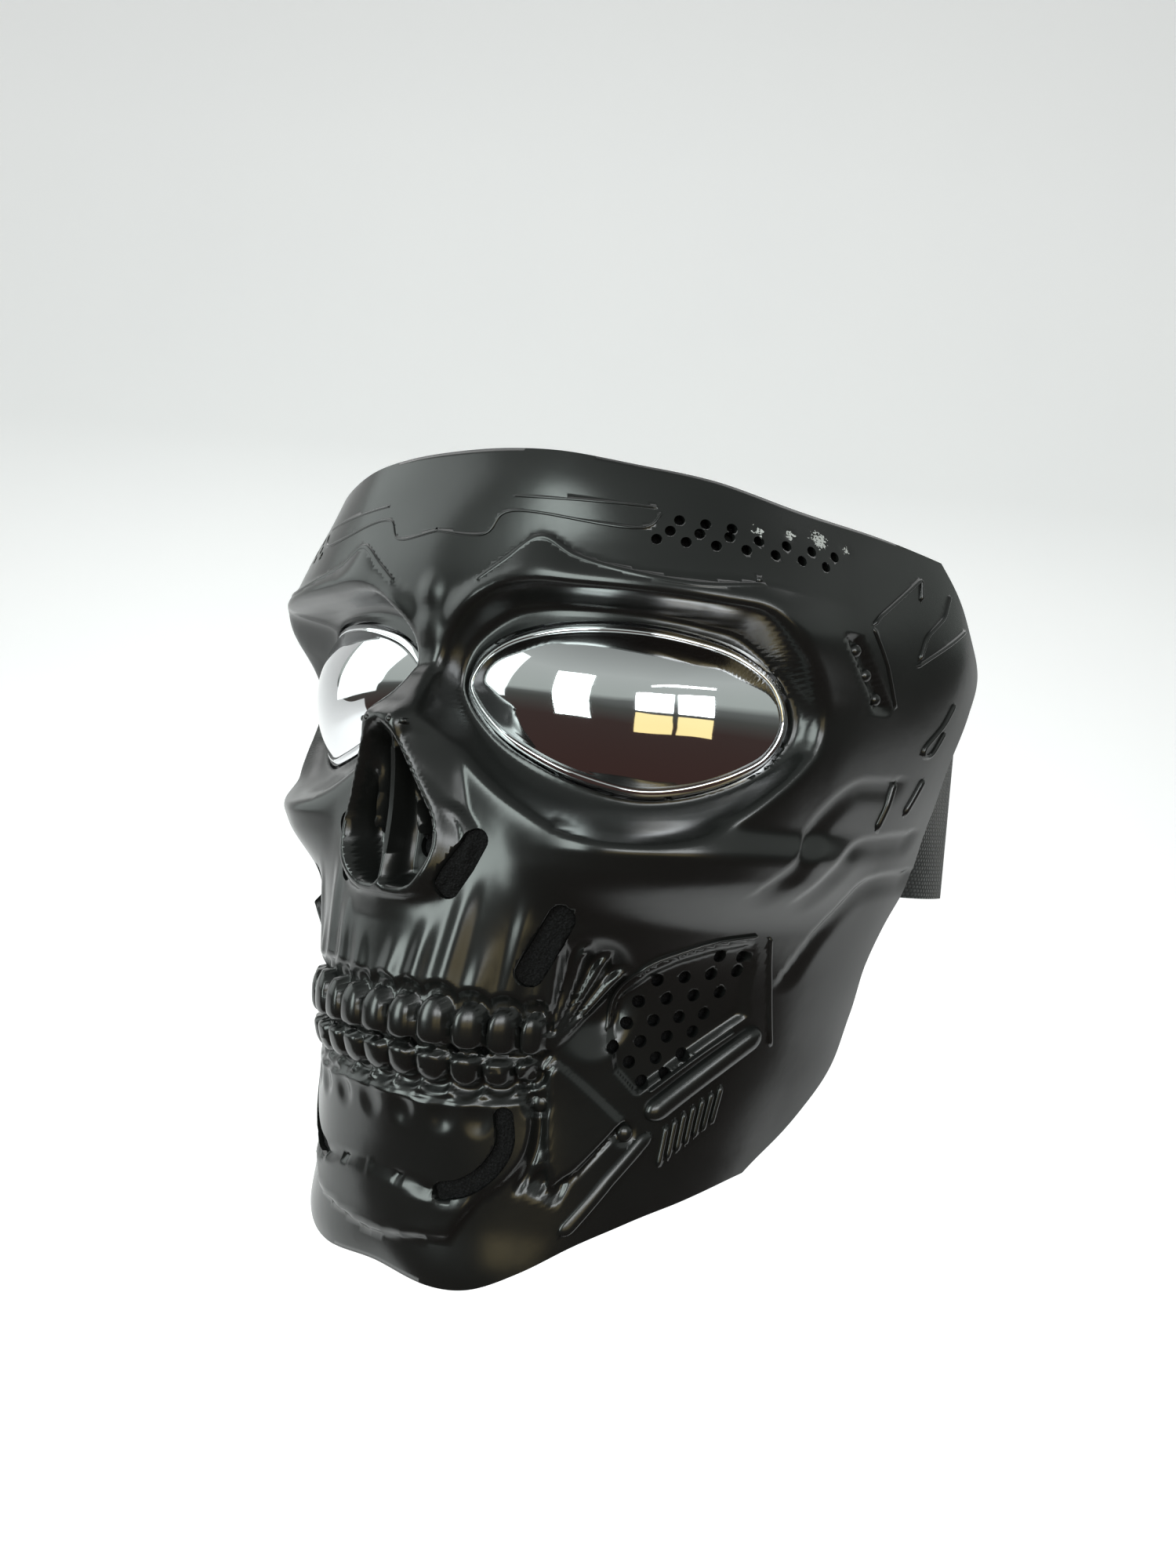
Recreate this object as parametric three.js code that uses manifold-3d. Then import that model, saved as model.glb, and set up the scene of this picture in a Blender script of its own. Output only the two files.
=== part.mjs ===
import * as THREE from 'three';
import Module from 'manifold-3d';

const wasm = await Module();
wasm.setup();

// Skull mask, held up as it is worn. Lengths are in millimetres. The origin lies on the upright
// axis of the head at eye level, the face looks towards -Y, and +Z is up.
// A place on the mask is given by out, the way round from the midline, and by level, the height.
// Both are shares: out of the face radius, level of the height above or below the eyes.

// Sizes of the shell
const FACE_RADIUS = 100;
const EYE_TO_RIM = 60;
const EYE_TO_CHIN = 150;
const SHELL_WALL = 2.6;
const SOCKET_FLOOR_RADIUS = 91;
const SOCKET_BULGE_RADIUS = 70;
const SOCKET_SILL_STEEPNESS = 1.3;
const SOCKET_BROW_STEEPNESS = 3.2;
const WIDEST_TURN = 88;
const BROW_RISE = 3;
const BROW_BUMP_RISE = 2.4;
const CHEEKBONE_RISE = 4.5;
const CHEEK_HOLLOW_DEPTH = 5;
const NOSE_RISE = 13;
const NOSE_DEPTH = 10;
const SEPTUM_WIDTH = 3;
const ROOT_RIDGE_RISE = 1.3;
const CHIN_PLATE_RISE = 1.6;
const CHIN_BLOCK_RISE = 3;
const JAW_PLATE_RISE = 1.6;
const GRILLE_RECESS = 2;
const ROD_THICKNESS = 6.6;
const TEMPLE_STRIP_RECESS = 1.2;

// Sizes of the teeth, fins and rivets
const UPPER_TOOTH_HEIGHT = 12.5;
const LOWER_TOOTH_HEIGHT = 8.5;
const TOOTH_RISE = 2.6;
const TOOTH_GAP = 0.8;
const FIN_WIDTH = 1.8;
const FIN_RISE = 1.3;
const RIVET_DIAMETER = 4.6;
const RIVET_RISE = 1.2;

// Sizes of the openings
const VENT_DIAMETER = 2.6;
const GRILLE_HOLE_DIAMETER = 3.4;
const BITE_HOLE_WIDTH = 3;
const BITE_HOLE_HEIGHT = 2;
const HOOK_HOLE_DIAMETER = 4.6;
const HOOK_HOLE_DEPTH = 1.7;
const CUT_MARGIN = 2;
const EYE_CUT_MARGIN = 12;
const NOSTRIL_DIAMETER = 6.4;
const NOSE_SLOT_WIDTH = 6;
const CHEEK_SLOT_WIDTH = 7;
const CHIN_SLOT_WIDTH = 4.8;

// Sizes of the pieces that the shell carries
const CLEARANCE = 0.35;
const LENS_THICKNESS = 2;
const LENS_FLANGE = 5;
const LENS_EDGE_GAP = 0.9;
const LENS_STEP = 2.6;
const LENS_DOME = 3.2;
const FOAM_THICKNESS = 3;
const BACKING_THICKNESS = 3;
const BACKING_GAP = 0.5;
const FOAM_BORDER = 2.5;
const FOAM_PAD_GAP = 0.9;
const FOAM_SINK = 0.9;
const STRAP_WALL_GAP = 0.6;
const STRAP_WIDTH = 48;
const STRAP_THICKNESS = 1.6;
const STRAP_CENTRE_DROP = 25;
const STRAP_REACH = 40;
const STRAP_FOLD_RADIUS = 7;
const STRAP_SAG = 7;
const STRAP_END_TURN = 78;
const STRAP_TURN_MARGIN = 1.5;
const STRAP_FLARE = 1.5;
const ANCHOR_LENGTH = 14;
const ANCHOR_THICKNESS = 2;

const GIRTH_RADIUS = 0.95 * FACE_RADIUS;
const heightOf = (level) => level * (level < 0 ? EYE_TO_CHIN : EYE_TO_RIM);
const degrees = (girth) => THREE.MathUtils.radToDeg(girth / GIRTH_RADIUS);
const girthAt = (turn) => THREE.MathUtils.degToRad(turn) * GIRTH_RADIUS;
const mix = (a, b, share) => a + (b - a) * share;
const ramp = (value, from, to) => THREE.MathUtils.smoothstep(value, Math.min(from, to), Math.max(from, to));
const rise = (value, from, to) => (from < to ? ramp(value, from, to) : 1 - ramp(value, to, from));

// Radius of the shell's outside before its relief, as shares of the face radius.
// A row for each level, a column for each turn from the midline in degrees.
const TURNS = [0, 12, 24, 38, 52, 66, 80, 95, 110];
const RADII = [
  { level: -1.067, t0: 0.86, t12: 0.88, t24: 0.86, t38: 0.76, t52: 0.68, t66: 0.63, t80: 0.60, t95: 0.60, t110: 0.60 },
  { level: -1.000, t0: 0.90, t12: 0.91, t24: 0.88, t38: 0.79, t52: 0.71, t66: 0.66, t80: 0.63, t95: 0.63, t110: 0.63 },
  { level: -0.900, t0: 0.92, t12: 0.91, t24: 0.87, t38: 0.80, t52: 0.73, t66: 0.69, t80: 0.67, t95: 0.68, t110: 0.69 },
  { level: -0.787, t0: 0.93, t12: 0.92, t24: 0.87, t38: 0.79, t52: 0.73, t66: 0.70, t80: 0.70, t95: 0.73, t110: 0.75 },
  { level: -0.687, t0: 0.96, t12: 0.94, t24: 0.87, t38: 0.78, t52: 0.73, t66: 0.72, t80: 0.73, t95: 0.77, t110: 0.80 },
  { level: -0.587, t0: 1.01, t12: 0.98, t24: 0.89, t38: 0.78, t52: 0.74, t66: 0.74, t80: 0.76, t95: 0.80, t110: 0.84 },
  { level: -0.467, t0: 0.99, t12: 0.97, t24: 0.91, t38: 0.83, t52: 0.79, t66: 0.79, t80: 0.81, t95: 0.85, t110: 0.89 },
  { level: -0.347, t0: 0.97, t12: 0.95, t24: 0.93, t38: 0.91, t52: 0.89, t66: 0.87, t80: 0.87, t95: 0.90, t110: 0.94 },
  { level: -0.233, t0: 0.94, t12: 0.93, t24: 0.95, t38: 0.98, t52: 0.98, t66: 0.94, t80: 0.92, t95: 0.94, t110: 0.99 },
  { level: -0.120, t0: 0.92, t12: 0.92, t24: 0.95, t38: 1.00, t52: 1.02, t66: 0.99, t80: 0.97, t95: 0.99, t110: 1.04 },
  { level: 0.000, t0: 0.89, t12: 0.90, t24: 0.94, t38: 1.00, t52: 1.03, t66: 1.01, t80: 1.00, t95: 1.03, t110: 1.08 },
  { level: 0.300, t0: 0.90, t12: 0.91, t24: 0.95, t38: 1.02, t52: 1.06, t66: 1.03, t80: 1.01, t95: 1.05, t110: 1.08 },
  { level: 0.583, t0: 0.90, t12: 0.90, t24: 0.92, t38: 0.97, t52: 1.01, t66: 1.00, t80: 1.00, t95: 1.03, t110: 1.05 },
  { level: 0.833, t0: 0.87, t12: 0.88, t24: 0.90, t38: 0.92, t52: 0.93, t66: 0.94, t80: 0.97, t95: 1.00, t110: 1.01 },
  { level: 1.100, t0: 0.83, t12: 0.84, t24: 0.86, t38: 0.86, t52: 0.86, t66: 0.88, t80: 0.93, t95: 0.97, t110: 0.97 },
];

// Outline of the shell: its lower edge and upper rim by turn, and its rear edge by level
const LOWER_EDGE = [
  { turn: 0, level: -1.005 }, { turn: 19, level: -1.003 }, { turn: 26, level: -0.970 }, { turn: 34, level: -0.930 },
  { turn: 44, level: -0.897 }, { turn: 56, level: -0.873 }, { turn: 70, level: -0.847 }, { turn: 78, level: -0.835 },
];
const UPPER_RIM = [
  { turn: 0, level: 0.975 }, { turn: 20, level: 0.950 }, { turn: 34, level: 0.893 }, { turn: 46, level: 0.850 },
  { turn: 58, level: 0.775 }, { turn: 72, level: 0.733 }, { turn: 88, level: 0.700 }, { turn: 100, level: 0.690 },
];
const REAR_EDGE = [
  { level: -0.840, turn: 74 }, { level: -0.787, turn: 83 }, { level: -0.720, turn: 90 }, { level: -0.650, turn: 95 },
  { level: -0.553, turn: 96 }, { level: -0.453, turn: 94.5 }, { level: -0.373, turn: 96 }, { level: -0.300, turn: 99.5 },
  { level: -0.180, turn: 99 }, { level: -0.070, turn: 98.5 }, { level: 0.070, turn: 100.5 }, { level: 0.250, turn: 101.5 },
  { level: 0.400, turn: 97.5 }, { level: 0.560, turn: 93.5 }, { level: 0.700, turn: 88 },
];

// Closed outlines on one half of the face, counter-clockwise as seen from outside
const EYE = [
  { out: 0.080, level: -0.013 }, { out: 0.190, level: -0.087 }, { out: 0.360, level: -0.140 }, { out: 0.500, level: -0.167 },
  { out: 0.640, level: -0.180 }, { out: 0.770, level: -0.167 }, { out: 0.900, level: -0.133 }, { out: 0.970, level: -0.100 },
  { out: 1.010, level: -0.040 }, { out: 0.975, level: 0.075 }, { out: 0.875, level: 0.190 }, { out: 0.720, level: 0.252 },
  { out: 0.540, level: 0.272 }, { out: 0.350, level: 0.250 }, { out: 0.190, level: 0.180 }, { out: 0.105, level: 0.080 },
];
const SOCKET = [
  { out: 0.060, level: -0.027 }, { out: 0.100, level: -0.080 }, { out: 0.170, level: -0.133 }, { out: 0.300, level: -0.193 },
  { out: 0.440, level: -0.230 }, { out: 0.580, level: -0.242 }, { out: 0.720, level: -0.230 }, { out: 0.830, level: -0.203 },
  { out: 0.950, level: -0.140 }, { out: 1.045, level: -0.060 }, { out: 1.030, level: 0.000 }, { out: 0.950, level: 0.160 },
  { out: 0.865, level: 0.305 }, { out: 0.780, level: 0.325 }, { out: 0.600, level: 0.355 }, { out: 0.460, level: 0.372 },
  { out: 0.320, level: 0.385 }, { out: 0.230, level: 0.365 }, { out: 0.140, level: 0.285 }, { out: 0.080, level: 0.190 },
  { out: 0.055, level: 0.080 },
];
const NOSE = [
  { out: -0.010, level: -0.345 }, { out: 0.050, level: -0.358 }, { out: 0.095, level: -0.348 }, { out: 0.128, level: -0.320 },
  { out: 0.148, level: -0.285 }, { out: 0.143, level: -0.243 }, { out: 0.115, level: -0.203 }, { out: 0.083, level: -0.160 },
  { out: 0.045, level: -0.110 }, { out: -0.010, level: -0.083 },
];
const CHIN_PLATE = [
  { out: -0.050, level: -0.840 }, { out: 0.100, level: -0.840 }, { out: 0.220, level: -0.857 }, { out: 0.300, level: -0.860 },
  { out: 0.380, level: -0.823 }, { out: 0.430, level: -0.770 }, { out: 0.430, level: -0.693 }, { out: 0.420, level: -0.643 },
  { out: 0.360, level: -0.667 }, { out: 0.200, level: -0.677 }, { out: -0.050, level: -0.680 },
];
const CHIN_BLOCK = [
  { out: -0.050, level: -0.957 }, { out: 0.050, level: -0.950 }, { out: 0.170, level: -0.937 }, { out: 0.250, level: -0.930 },
  { out: 0.330, level: -0.847 }, { out: 0.230, level: -0.850 }, { out: 0.110, level: -0.833 }, { out: -0.050, level: -0.830 },
];
const JAW_PLATE = [
  { out: 0.480, level: -0.835 }, { out: 0.560, level: -0.810 }, { out: 0.700, level: -0.723 }, { out: 0.480, level: -0.615 },
  { out: 0.455, level: -0.640 }, { out: 0.460, level: -0.740 },
];
const GRILLE = [
  { out: 0.730, level: -0.683 }, { out: 1.100, level: -0.543 }, { out: 1.060, level: -0.433 }, { out: 1.030, level: -0.405 },
  { out: 0.910, level: -0.420 }, { out: 0.810, level: -0.440 }, { out: 0.720, level: -0.467 }, { out: 0.645, level: -0.513 },
  { out: 0.620, level: -0.573 }, { out: 0.650, level: -0.640 },
];
const TEMPLE_STRIP = [
  { out: 1.220, level: 0.000 }, { out: 1.290, level: 0.000 }, { out: 1.120, level: 0.300 }, { out: 1.070, level: 0.285 },
];

// Centre lines, rows of holes and single places on one half of the face
const NOSE_SLOT = [{ out: 0.240, level: -0.267 }, { out: 0.180, level: -0.347 }];
const CHEEK_SLOT = [{ out: 0.470, level: -0.380 }, { out: 0.400, level: -0.473 }];
const CHIN_SLOT = [
  { out: 0.360, level: -0.713 }, { out: 0.368, level: -0.760 }, { out: 0.330, level: -0.807 }, { out: 0.270, level: -0.837 },
  { out: 0.220, level: -0.847 },
];
const NOSTRIL = { out: 0.075, level: -0.287 };
const HOOK_HOLE = { out: 0.460, level: -0.820 };
const ROD = [{ out: 1.170, level: -0.570 }, { out: 0.770, level: -0.720 }];
const RIVETS = [
  { out: 0.440, level: -0.693 }, { out: 0.700, level: -0.745 }, { out: 1.115, level: 0.233 }, { out: 1.160, level: 0.150 },
  { out: 1.210, level: 0.050 },
];
const VENT_ROWS = [
  { out: 0.670, level: 0.667, lastOut: 0.790, lastLevel: 0.650, count: 3 },
  { out: 0.650, level: 0.620, lastOut: 1.050, lastLevel: 0.598, count: 7 },
  { out: 0.620, level: 0.583, lastOut: 1.020, lastLevel: 0.548, count: 7 },
];
const GRILLE_ROWS = [
  { out: 0.950, level: -0.433, lastOut: 1.030, lastLevel: -0.433, count: 2 },
  { out: 0.760, level: -0.480, lastOut: 1.030, lastLevel: -0.460, count: 4 },
  { out: 0.710, level: -0.520, lastOut: 0.990, lastLevel: -0.500, count: 4 },
  { out: 0.680, level: -0.560, lastOut: 0.950, lastLevel: -0.540, count: 4 },
  { out: 0.640, level: -0.600, lastOut: 0.920, lastLevel: -0.573, count: 4 },
  { out: 0.700, level: -0.627, lastOut: 0.890, lastLevel: -0.613, count: 3 },
  { out: 0.750, level: -0.660, lastOut: 0.830, lastLevel: -0.647, count: 2 },
];
// Stretches of the shell that have foam behind their small holes
const BROW_BACKING = { outs: [0.600, 1.130], levels: [0.500, 0.705], columns: 8, rows: 2 };
const GRILLE_BACKING = { outs: [0.600, 1.090], levels: [-0.690, -0.410], columns: 8, rows: 6 };
const MOUTH_BACKING = { outs: [-0.340, 0.340], levels: [-0.635, -0.575], columns: 12, rows: 2 };
const BITE_HOLES = { level: -0.603, outs: [0.045, 0.135, 0.235, 0.300] };
const FINS = { top: { out: 1.050, level: -0.667 }, foot: { out: 1.030, level: -0.740 }, lastTop: { out: 0.850, level: -0.733 }, count: 7 };
const UPPER_TEETH = { level: -0.556, outs: [0, 0.075, 0.148, 0.230, 0.308, 0.385, 0.450] };
const LOWER_TEETH = { level: -0.641, outs: [0, 0.075, 0.148, 0.230, 0.308, 0.385] };

// Rows and columns of the shell's mesh, closer together where the relief is
const ROW_LEVELS = [
  -1.005, -0.955, -0.925, -0.857, -0.832, -0.780, -0.730, -0.690, -0.672, -0.660, -0.622, -0.606, -0.590, -0.535, -0.510,
  -0.450, -0.400, -0.360, -0.325, -0.285, -0.245, -0.205, -0.160, -0.110, -0.075, -0.035, 0.020, 0.100,
  0.210, 0.280, 0.330, 0.385, 0.460, 0.600, 0.975,
];
const COLUMN_OUTS = [
  0, 0.037, 0.074, 0.110, 0.146, 0.186, 0.226, 0.264, 0.302, 0.340, 0.378, 0.410, 0.442, 0.530, 0.650, 0.790, 0.920, 1.010,
  1.110, 1.250, 1.400, 1.560,
];

// Cubic through the points, with its slope at each taken from the two points beside it
function curve(xs, ys, levelStart) {
  const last = xs.length - 1;
  const slope = xs.map((x, i) => {
    if (i === 0) {
      return levelStart ? 0 : (ys[1] - ys[0]) / (xs[1] - xs[0]);
    }
    if (i === last) {
      return (ys[last] - ys[last - 1]) / (xs[last] - xs[last - 1]);
    }
    const before = xs[i] - xs[i - 1];
    const after = xs[i + 1] - xs[i];
    return ((ys[i] - ys[i - 1]) / before * after + (ys[i + 1] - ys[i]) / after * before) / (before + after);
  });
  return (value) => {
    const x = THREE.MathUtils.clamp(value, xs[0], xs[last]);
    let i = 0;
    while (i < last - 1 && x > xs[i + 1]) {
      i += 1;
    }
    const step = xs[i + 1] - xs[i];
    const t = (x - xs[i]) / step;
    return (1 + 2 * t) * (1 - t) ** 2 * ys[i] + t * (1 - t) ** 2 * step * slope[i]
      + t * t * (3 - 2 * t) * ys[i + 1] + t * t * (t - 1) * step * slope[i + 1];
  };
}

const tableCurve = (table, from, to, levelStart) => curve(table.map(from), table.map(to), levelStart);
const columnRadius = TURNS.map((turn) => tableCurve(
  RADII, (row) => heightOf(row.level), (row) => row[`t${turn}`] * FACE_RADIUS));
const lowerEdge = tableCurve(LOWER_EDGE, (row) => row.turn, (row) => heightOf(row.level), true);
const upperRim = tableCurve(UPPER_RIM, (row) => row.turn, (row) => heightOf(row.level), true);
const rearEdge = tableCurve(REAR_EDGE, (row) => heightOf(row.level), (row) => row.turn);

function baseRadius(girth, z) {
  return curve(TURNS, columnRadius.map((radius) => radius(z)), true)(Math.abs(degrees(girth)));
}

// A point given by its girth, height and radius about the upright axis
function place(girth, z, radius) {
  const turn = girth / GIRTH_RADIUS;
  return [radius * Math.sin(turn), -radius * Math.cos(turn), z];
}

// Outlines are kept as lists of girth and height, in millimetres
const spot = ({ out, level }) => [out * FACE_RADIUS, heightOf(level)];

function smoothLoop(table, count) {
  const points = table.map(spot).map(([girth, z]) => new THREE.Vector3(girth, z, 0));
  const line = new THREE.CatmullRomCurve3(points, true, 'centripetal');
  return Array.from({ length: count }, (_, i) => {
    const p = line.getPointAt(i / count);
    return [p.x, p.y];
  });
}

function offsetLoop(loop, distance) {
  const count = loop.length;
  return loop.map(([girth, z], i) => {
    const before = loop[(i + count - 1) % count];
    const after = loop[(i + 1) % count];
    const across = [after[0] - before[0], after[1] - before[1]];
    const size = Math.hypot(...across);
    return [girth + across[1] / size * distance, z - across[0] / size * distance];
  });
}

// Distance from a loop, positive inside it
function insideDistance(loop, girth, z) {
  let best = Infinity;
  let inside = false;
  for (let i = 0; i < loop.length; i += 1) {
    const [ax, ay] = loop[i];
    const [bx, by] = loop[(i + 1) % loop.length];
    const dx = bx - ax;
    const dy = by - ay;
    const t = THREE.MathUtils.clamp(((girth - ax) * dx + (z - ay) * dy) / (dx * dx + dy * dy), 0, 1);
    best = Math.min(best, Math.hypot(girth - ax - t * dx, z - ay - t * dy));
    if ((ay > z) !== (by > z) && girth < ax + (z - ay) / dy * dx) {
      inside = !inside;
    }
  }
  return inside ? best : -best;
}

const eyeLoop = smoothLoop(EYE, 20);
const socketLoop = smoothLoop(SOCKET, 40);
const noseLoop = NOSE.map(spot);
const chinPlateLoop = CHIN_PLATE.map(spot);
const chinBlockLoop = CHIN_BLOCK.map(spot);
const jawPlateLoop = JAW_PLATE.map(spot);
const grilleLoop = GRILLE.map(spot);
const templeLoop = TEMPLE_STRIP.map(spot);
const rodLine = ROD.map(spot);

// Floor of the eye socket, a gentle dome that the lens lies behind
const FLOOR = [
  { out: 0.0, share: 0.890 }, { out: 0.2, share: 0.923 }, { out: 0.4, share: 0.962 }, { out: 0.63, share: 1.000 },
  { out: 0.86, share: 1.027 }, { out: 1.05, share: 1.038 }, { out: 1.3, share: 1.033 },
];
const floorShare = tableCurve(FLOOR, (row) => row.out * FACE_RADIUS, (row) => row.share);
const eyeMiddle = heightOf(-0.033);
function socketFloor(side, z) {
  return floorShare(side) * SOCKET_FLOOR_RADIUS - (z - eyeMiddle) ** 2 / (2 * SOCKET_BULGE_RADIUS);
}

// Nasal bone and the raised border of the nose opening, by level
const NASAL = [
  { level: 0.180, rise: 0.00, inner: 0.02, outer: 0.08 }, { level: 0.040, rise: 0.10, inner: 0.02, outer: 0.09 },
  { level: -0.033, rise: 0.52, inner: 0.03, outer: 0.12 }, { level: -0.077, rise: 1.00, inner: 0.04, outer: 0.14 },
  { level: -0.110, rise: 0.86, inner: 0.05, outer: 0.15 }, { level: -0.160, rise: 0.64, inner: 0.085, outer: 0.18 },
  { level: -0.220, rise: 0.47, inner: 0.115, outer: 0.21 }, { level: -0.280, rise: 0.36, inner: 0.14, outer: 0.24 },
  { level: -0.333, rise: 0.28, inner: 0.13, outer: 0.22 }, { level: -0.373, rise: 0.08, inner: 0.08, outer: 0.18 },
  { level: -0.413, rise: 0.00, inner: 0.05, outer: 0.15 },
];
const nasalRise = tableCurve(NASAL, (row) => -heightOf(row.level), (row) => row.rise * NOSE_RISE);
const nasalInner = tableCurve(NASAL, (row) => -heightOf(row.level), (row) => row.inner * FACE_RADIUS);
const nasalOuter = tableCurve(NASAL, (row) => -heightOf(row.level), (row) => row.outer * FACE_RADIUS);

function noseRelief(side, z) {
  const mound = nasalRise(-z) * rise(side, nasalOuter(-z), nasalInner(-z));
  const depth = insideDistance(noseLoop, side, z);
  const septum = rise(side, SEPTUM_WIDTH, SEPTUM_WIDTH / 2) * (NOSE_DEPTH - nasalRise(-z) * 0.35);
  return mound + (depth > 0 ? rise(depth, 0, 2.5) * (septum - NOSE_DEPTH) : 0);
}

// Brow: a swelling from the socket's rim up to the forehead, and two bumps on the midline
const BROW_TOP = [
  { out: 0.00, level: 0.35 }, { out: 0.10, level: 0.38 }, { out: 0.23, level: 0.49 }, { out: 0.33, level: 0.60 },
  { out: 0.43, level: 0.52 }, { out: 0.57, level: 0.46 }, { out: 0.84, level: 0.44 }, { out: 1.10, level: 0.40 },
];
const browTop = tableCurve(BROW_TOP, (row) => row.out * FACE_RADIUS, (row) => heightOf(row.level), true);
const BROW_BUMPS = [{ level: 0.205, width: 0.10, height: 0.085 }, { level: 0.355, width: 0.085, height: 0.08 }];

function browRelief(side, z) {
  const top = browTop(side);
  const foot = heightOf(0.05);
  const ends = rise(side, 0.04 * FACE_RADIUS, 0.16 * FACE_RADIUS) * rise(side, 1.15 * FACE_RADIUS, 0.85 * FACE_RADIUS);
  let height = BROW_RISE * ends * rise(z, top, mix(foot, top, 0.45)) * rise(z, -foot, foot);
  for (const bump of BROW_BUMPS) {
    const away = Math.hypot(side / (bump.width * FACE_RADIUS / 2), (z - heightOf(bump.level)) / (bump.height * FACE_RADIUS / 2));
    height += BROW_BUMP_RISE * rise(away, 1.2, 0.3);
  }
  return height;
}

// Cheekbone, the hollow behind the teeth, and the ridges over the tooth roots
function cheekRelief(side, z) {
  const bone = CHEEKBONE_RISE * rise(side, 0.30 * FACE_RADIUS, 0.56 * FACE_RADIUS)
    * rise(side, 1.45 * FACE_RADIUS, 1.05 * FACE_RADIUS) * rise(z, heightOf(-0.39), heightOf(-0.29))
    * rise(z, heightOf(-0.20), heightOf(-0.265));
  const hollow = Math.hypot((side - 0.57 * FACE_RADIUS) / 0.15, (z - heightOf(-0.51)) / 0.17) / FACE_RADIUS;
  return bone - CHEEK_HOLLOW_DEPTH * rise(hollow, 1.05, 0.35);
}

function rootRelief(side, z) {
  const window = rise(z, heightOf(-0.355), heightOf(-0.41)) * rise(z, heightOf(-0.545), heightOf(-0.50))
    * rise(side, 0.50 * FACE_RADIUS, 0.44 * FACE_RADIUS);
  const slanted = side - 0.12 * (z - heightOf(UPPER_TEETH.level));
  const outs = UPPER_TEETH.outs.map((out) => out * FACE_RADIUS);
  for (let i = 0; i < outs.length - 1; i += 1) {
    if (slanted >= outs[i] && slanted < outs[i + 1]) {
      return ROOT_RIDGE_RISE * window * -Math.cos(2 * Math.PI * (slanted - outs[i]) / (outs[i + 1] - outs[i]));
    }
  }
  return 0;
}

// A row of teeth: each stands out, and between them the surface falls back
function toothRelief({ level, outs }, height, side, z) {
  const up = Math.abs(z - heightOf(level)) / (height / 2);
  const i = outs.findIndex((out) => side < out * FACE_RADIUS) - 1;
  if (i < 0 || up > 1) {
    return 0;
  }
  const width = (outs[i + 1] - outs[i]) * FACE_RADIUS;
  const across = Math.abs(side - outs[i] * FACE_RADIUS - width / 2) / (width / 2);
  return TOOTH_RISE * rise(across, 1, 1 - 4 * TOOTH_GAP / width) * rise(up, 1, 0.7);
}

// Plates of the chin and jaw, the grille's recess, the rod under it and the strip at the temple
function jawRelief(side, z) {
  let height = CHIN_PLATE_RISE * rise(insideDistance(chinPlateLoop, side, z), -0.8, 1);
  height += CHIN_BLOCK_RISE * rise(insideDistance(chinBlockLoop, side, z), -0.8, 1.2);
  height += JAW_PLATE_RISE * rise(insideDistance(jawPlateLoop, side, z), -0.8, 1);
  height -= GRILLE_RECESS * rise(insideDistance(grilleLoop, side, z), -0.5, 1);
  height -= TEMPLE_STRIP_RECESS * rise(insideDistance(templeLoop, side, z), -0.5, 0.8);
  return height;
}

function surfaceRadius(girth, z) {
  const side = Math.abs(girth);
  let radius = baseRadius(girth, z) + noseRelief(side, z) + browRelief(side, z) + cheekRelief(side, z)
    + rootRelief(side, z) + jawRelief(side, z) + toothRelief(UPPER_TEETH, UPPER_TOOTH_HEIGHT, side, z)
    + toothRelief(LOWER_TEETH, LOWER_TOOTH_HEIGHT, side, z);
  const inRim = insideDistance(socketLoop, side, z);
  if (inRim > 0) {
    const outsideEye = Math.max(0, -insideDistance(eyeLoop, side, z));
    const floor = socketFloor(side, z);
    const steepness = mix(SOCKET_SILL_STEEPNESS, SOCKET_BROW_STEEPNESS, rise(z, heightOf(-0.10), heightOf(0.12)));
    radius = floor + (radius - floor) * (outsideEye / (outsideEye + inRim)) ** steepness;
  }
  return radius;
}

// Inside of the shell: nowhere nearer to its outside than the wall
function innerRadius(girth, z) {
  let radius = surfaceRadius(girth, z) - SHELL_WALL;
  for (const reach of [0.6, 0.95]) {
    for (let i = 0; i < 8; i += 1) {
      const away = reach * SHELL_WALL;
      const turn = i * Math.PI / 4;
      const there = surfaceRadius(girth + away * Math.cos(turn), z + away * Math.sin(turn));
      radius = Math.min(radius, there - Math.sqrt(SHELL_WALL ** 2 - away ** 2));
    }
  }
  return radius;
}

// A closed mesh is a list of points and a list of triangles
function solidOf({ points, triangles }) {
  const vertProperties = new Float32Array(points.flat());
  return new wasm.Manifold(new wasm.Mesh({ numProp: 3, vertProperties, triVerts: new Uint32Array(triangles) }));
}

function geometryOf({ points, triangles }) {
  const geometry = new THREE.BufferGeometry();
  geometry.setAttribute('position', new THREE.Float32BufferAttribute(points.flat(), 3));
  geometry.setIndex(triangles);
  return geometry;
}

function meshDataOf(solid) {
  const mesh = solid.getMesh();
  const points = [];
  for (let i = 0; i < mesh.numVert; i += 1) {
    points.push(Array.from(mesh.vertProperties.slice(i * mesh.numProp, i * mesh.numProp + 3)));
  }
  return { points, triangles: Array.from(mesh.triVerts) };
}

// Mirror image across the midline
function mirrored({ points, triangles }) {
  const turned = [];
  for (let i = 0; i < triangles.length; i += 3) {
    turned.push(triangles[i], triangles[i + 2], triangles[i + 1]);
  }
  return { points: points.map(([x, y, z]) => [-x, y, z]), triangles: turned };
}

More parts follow.
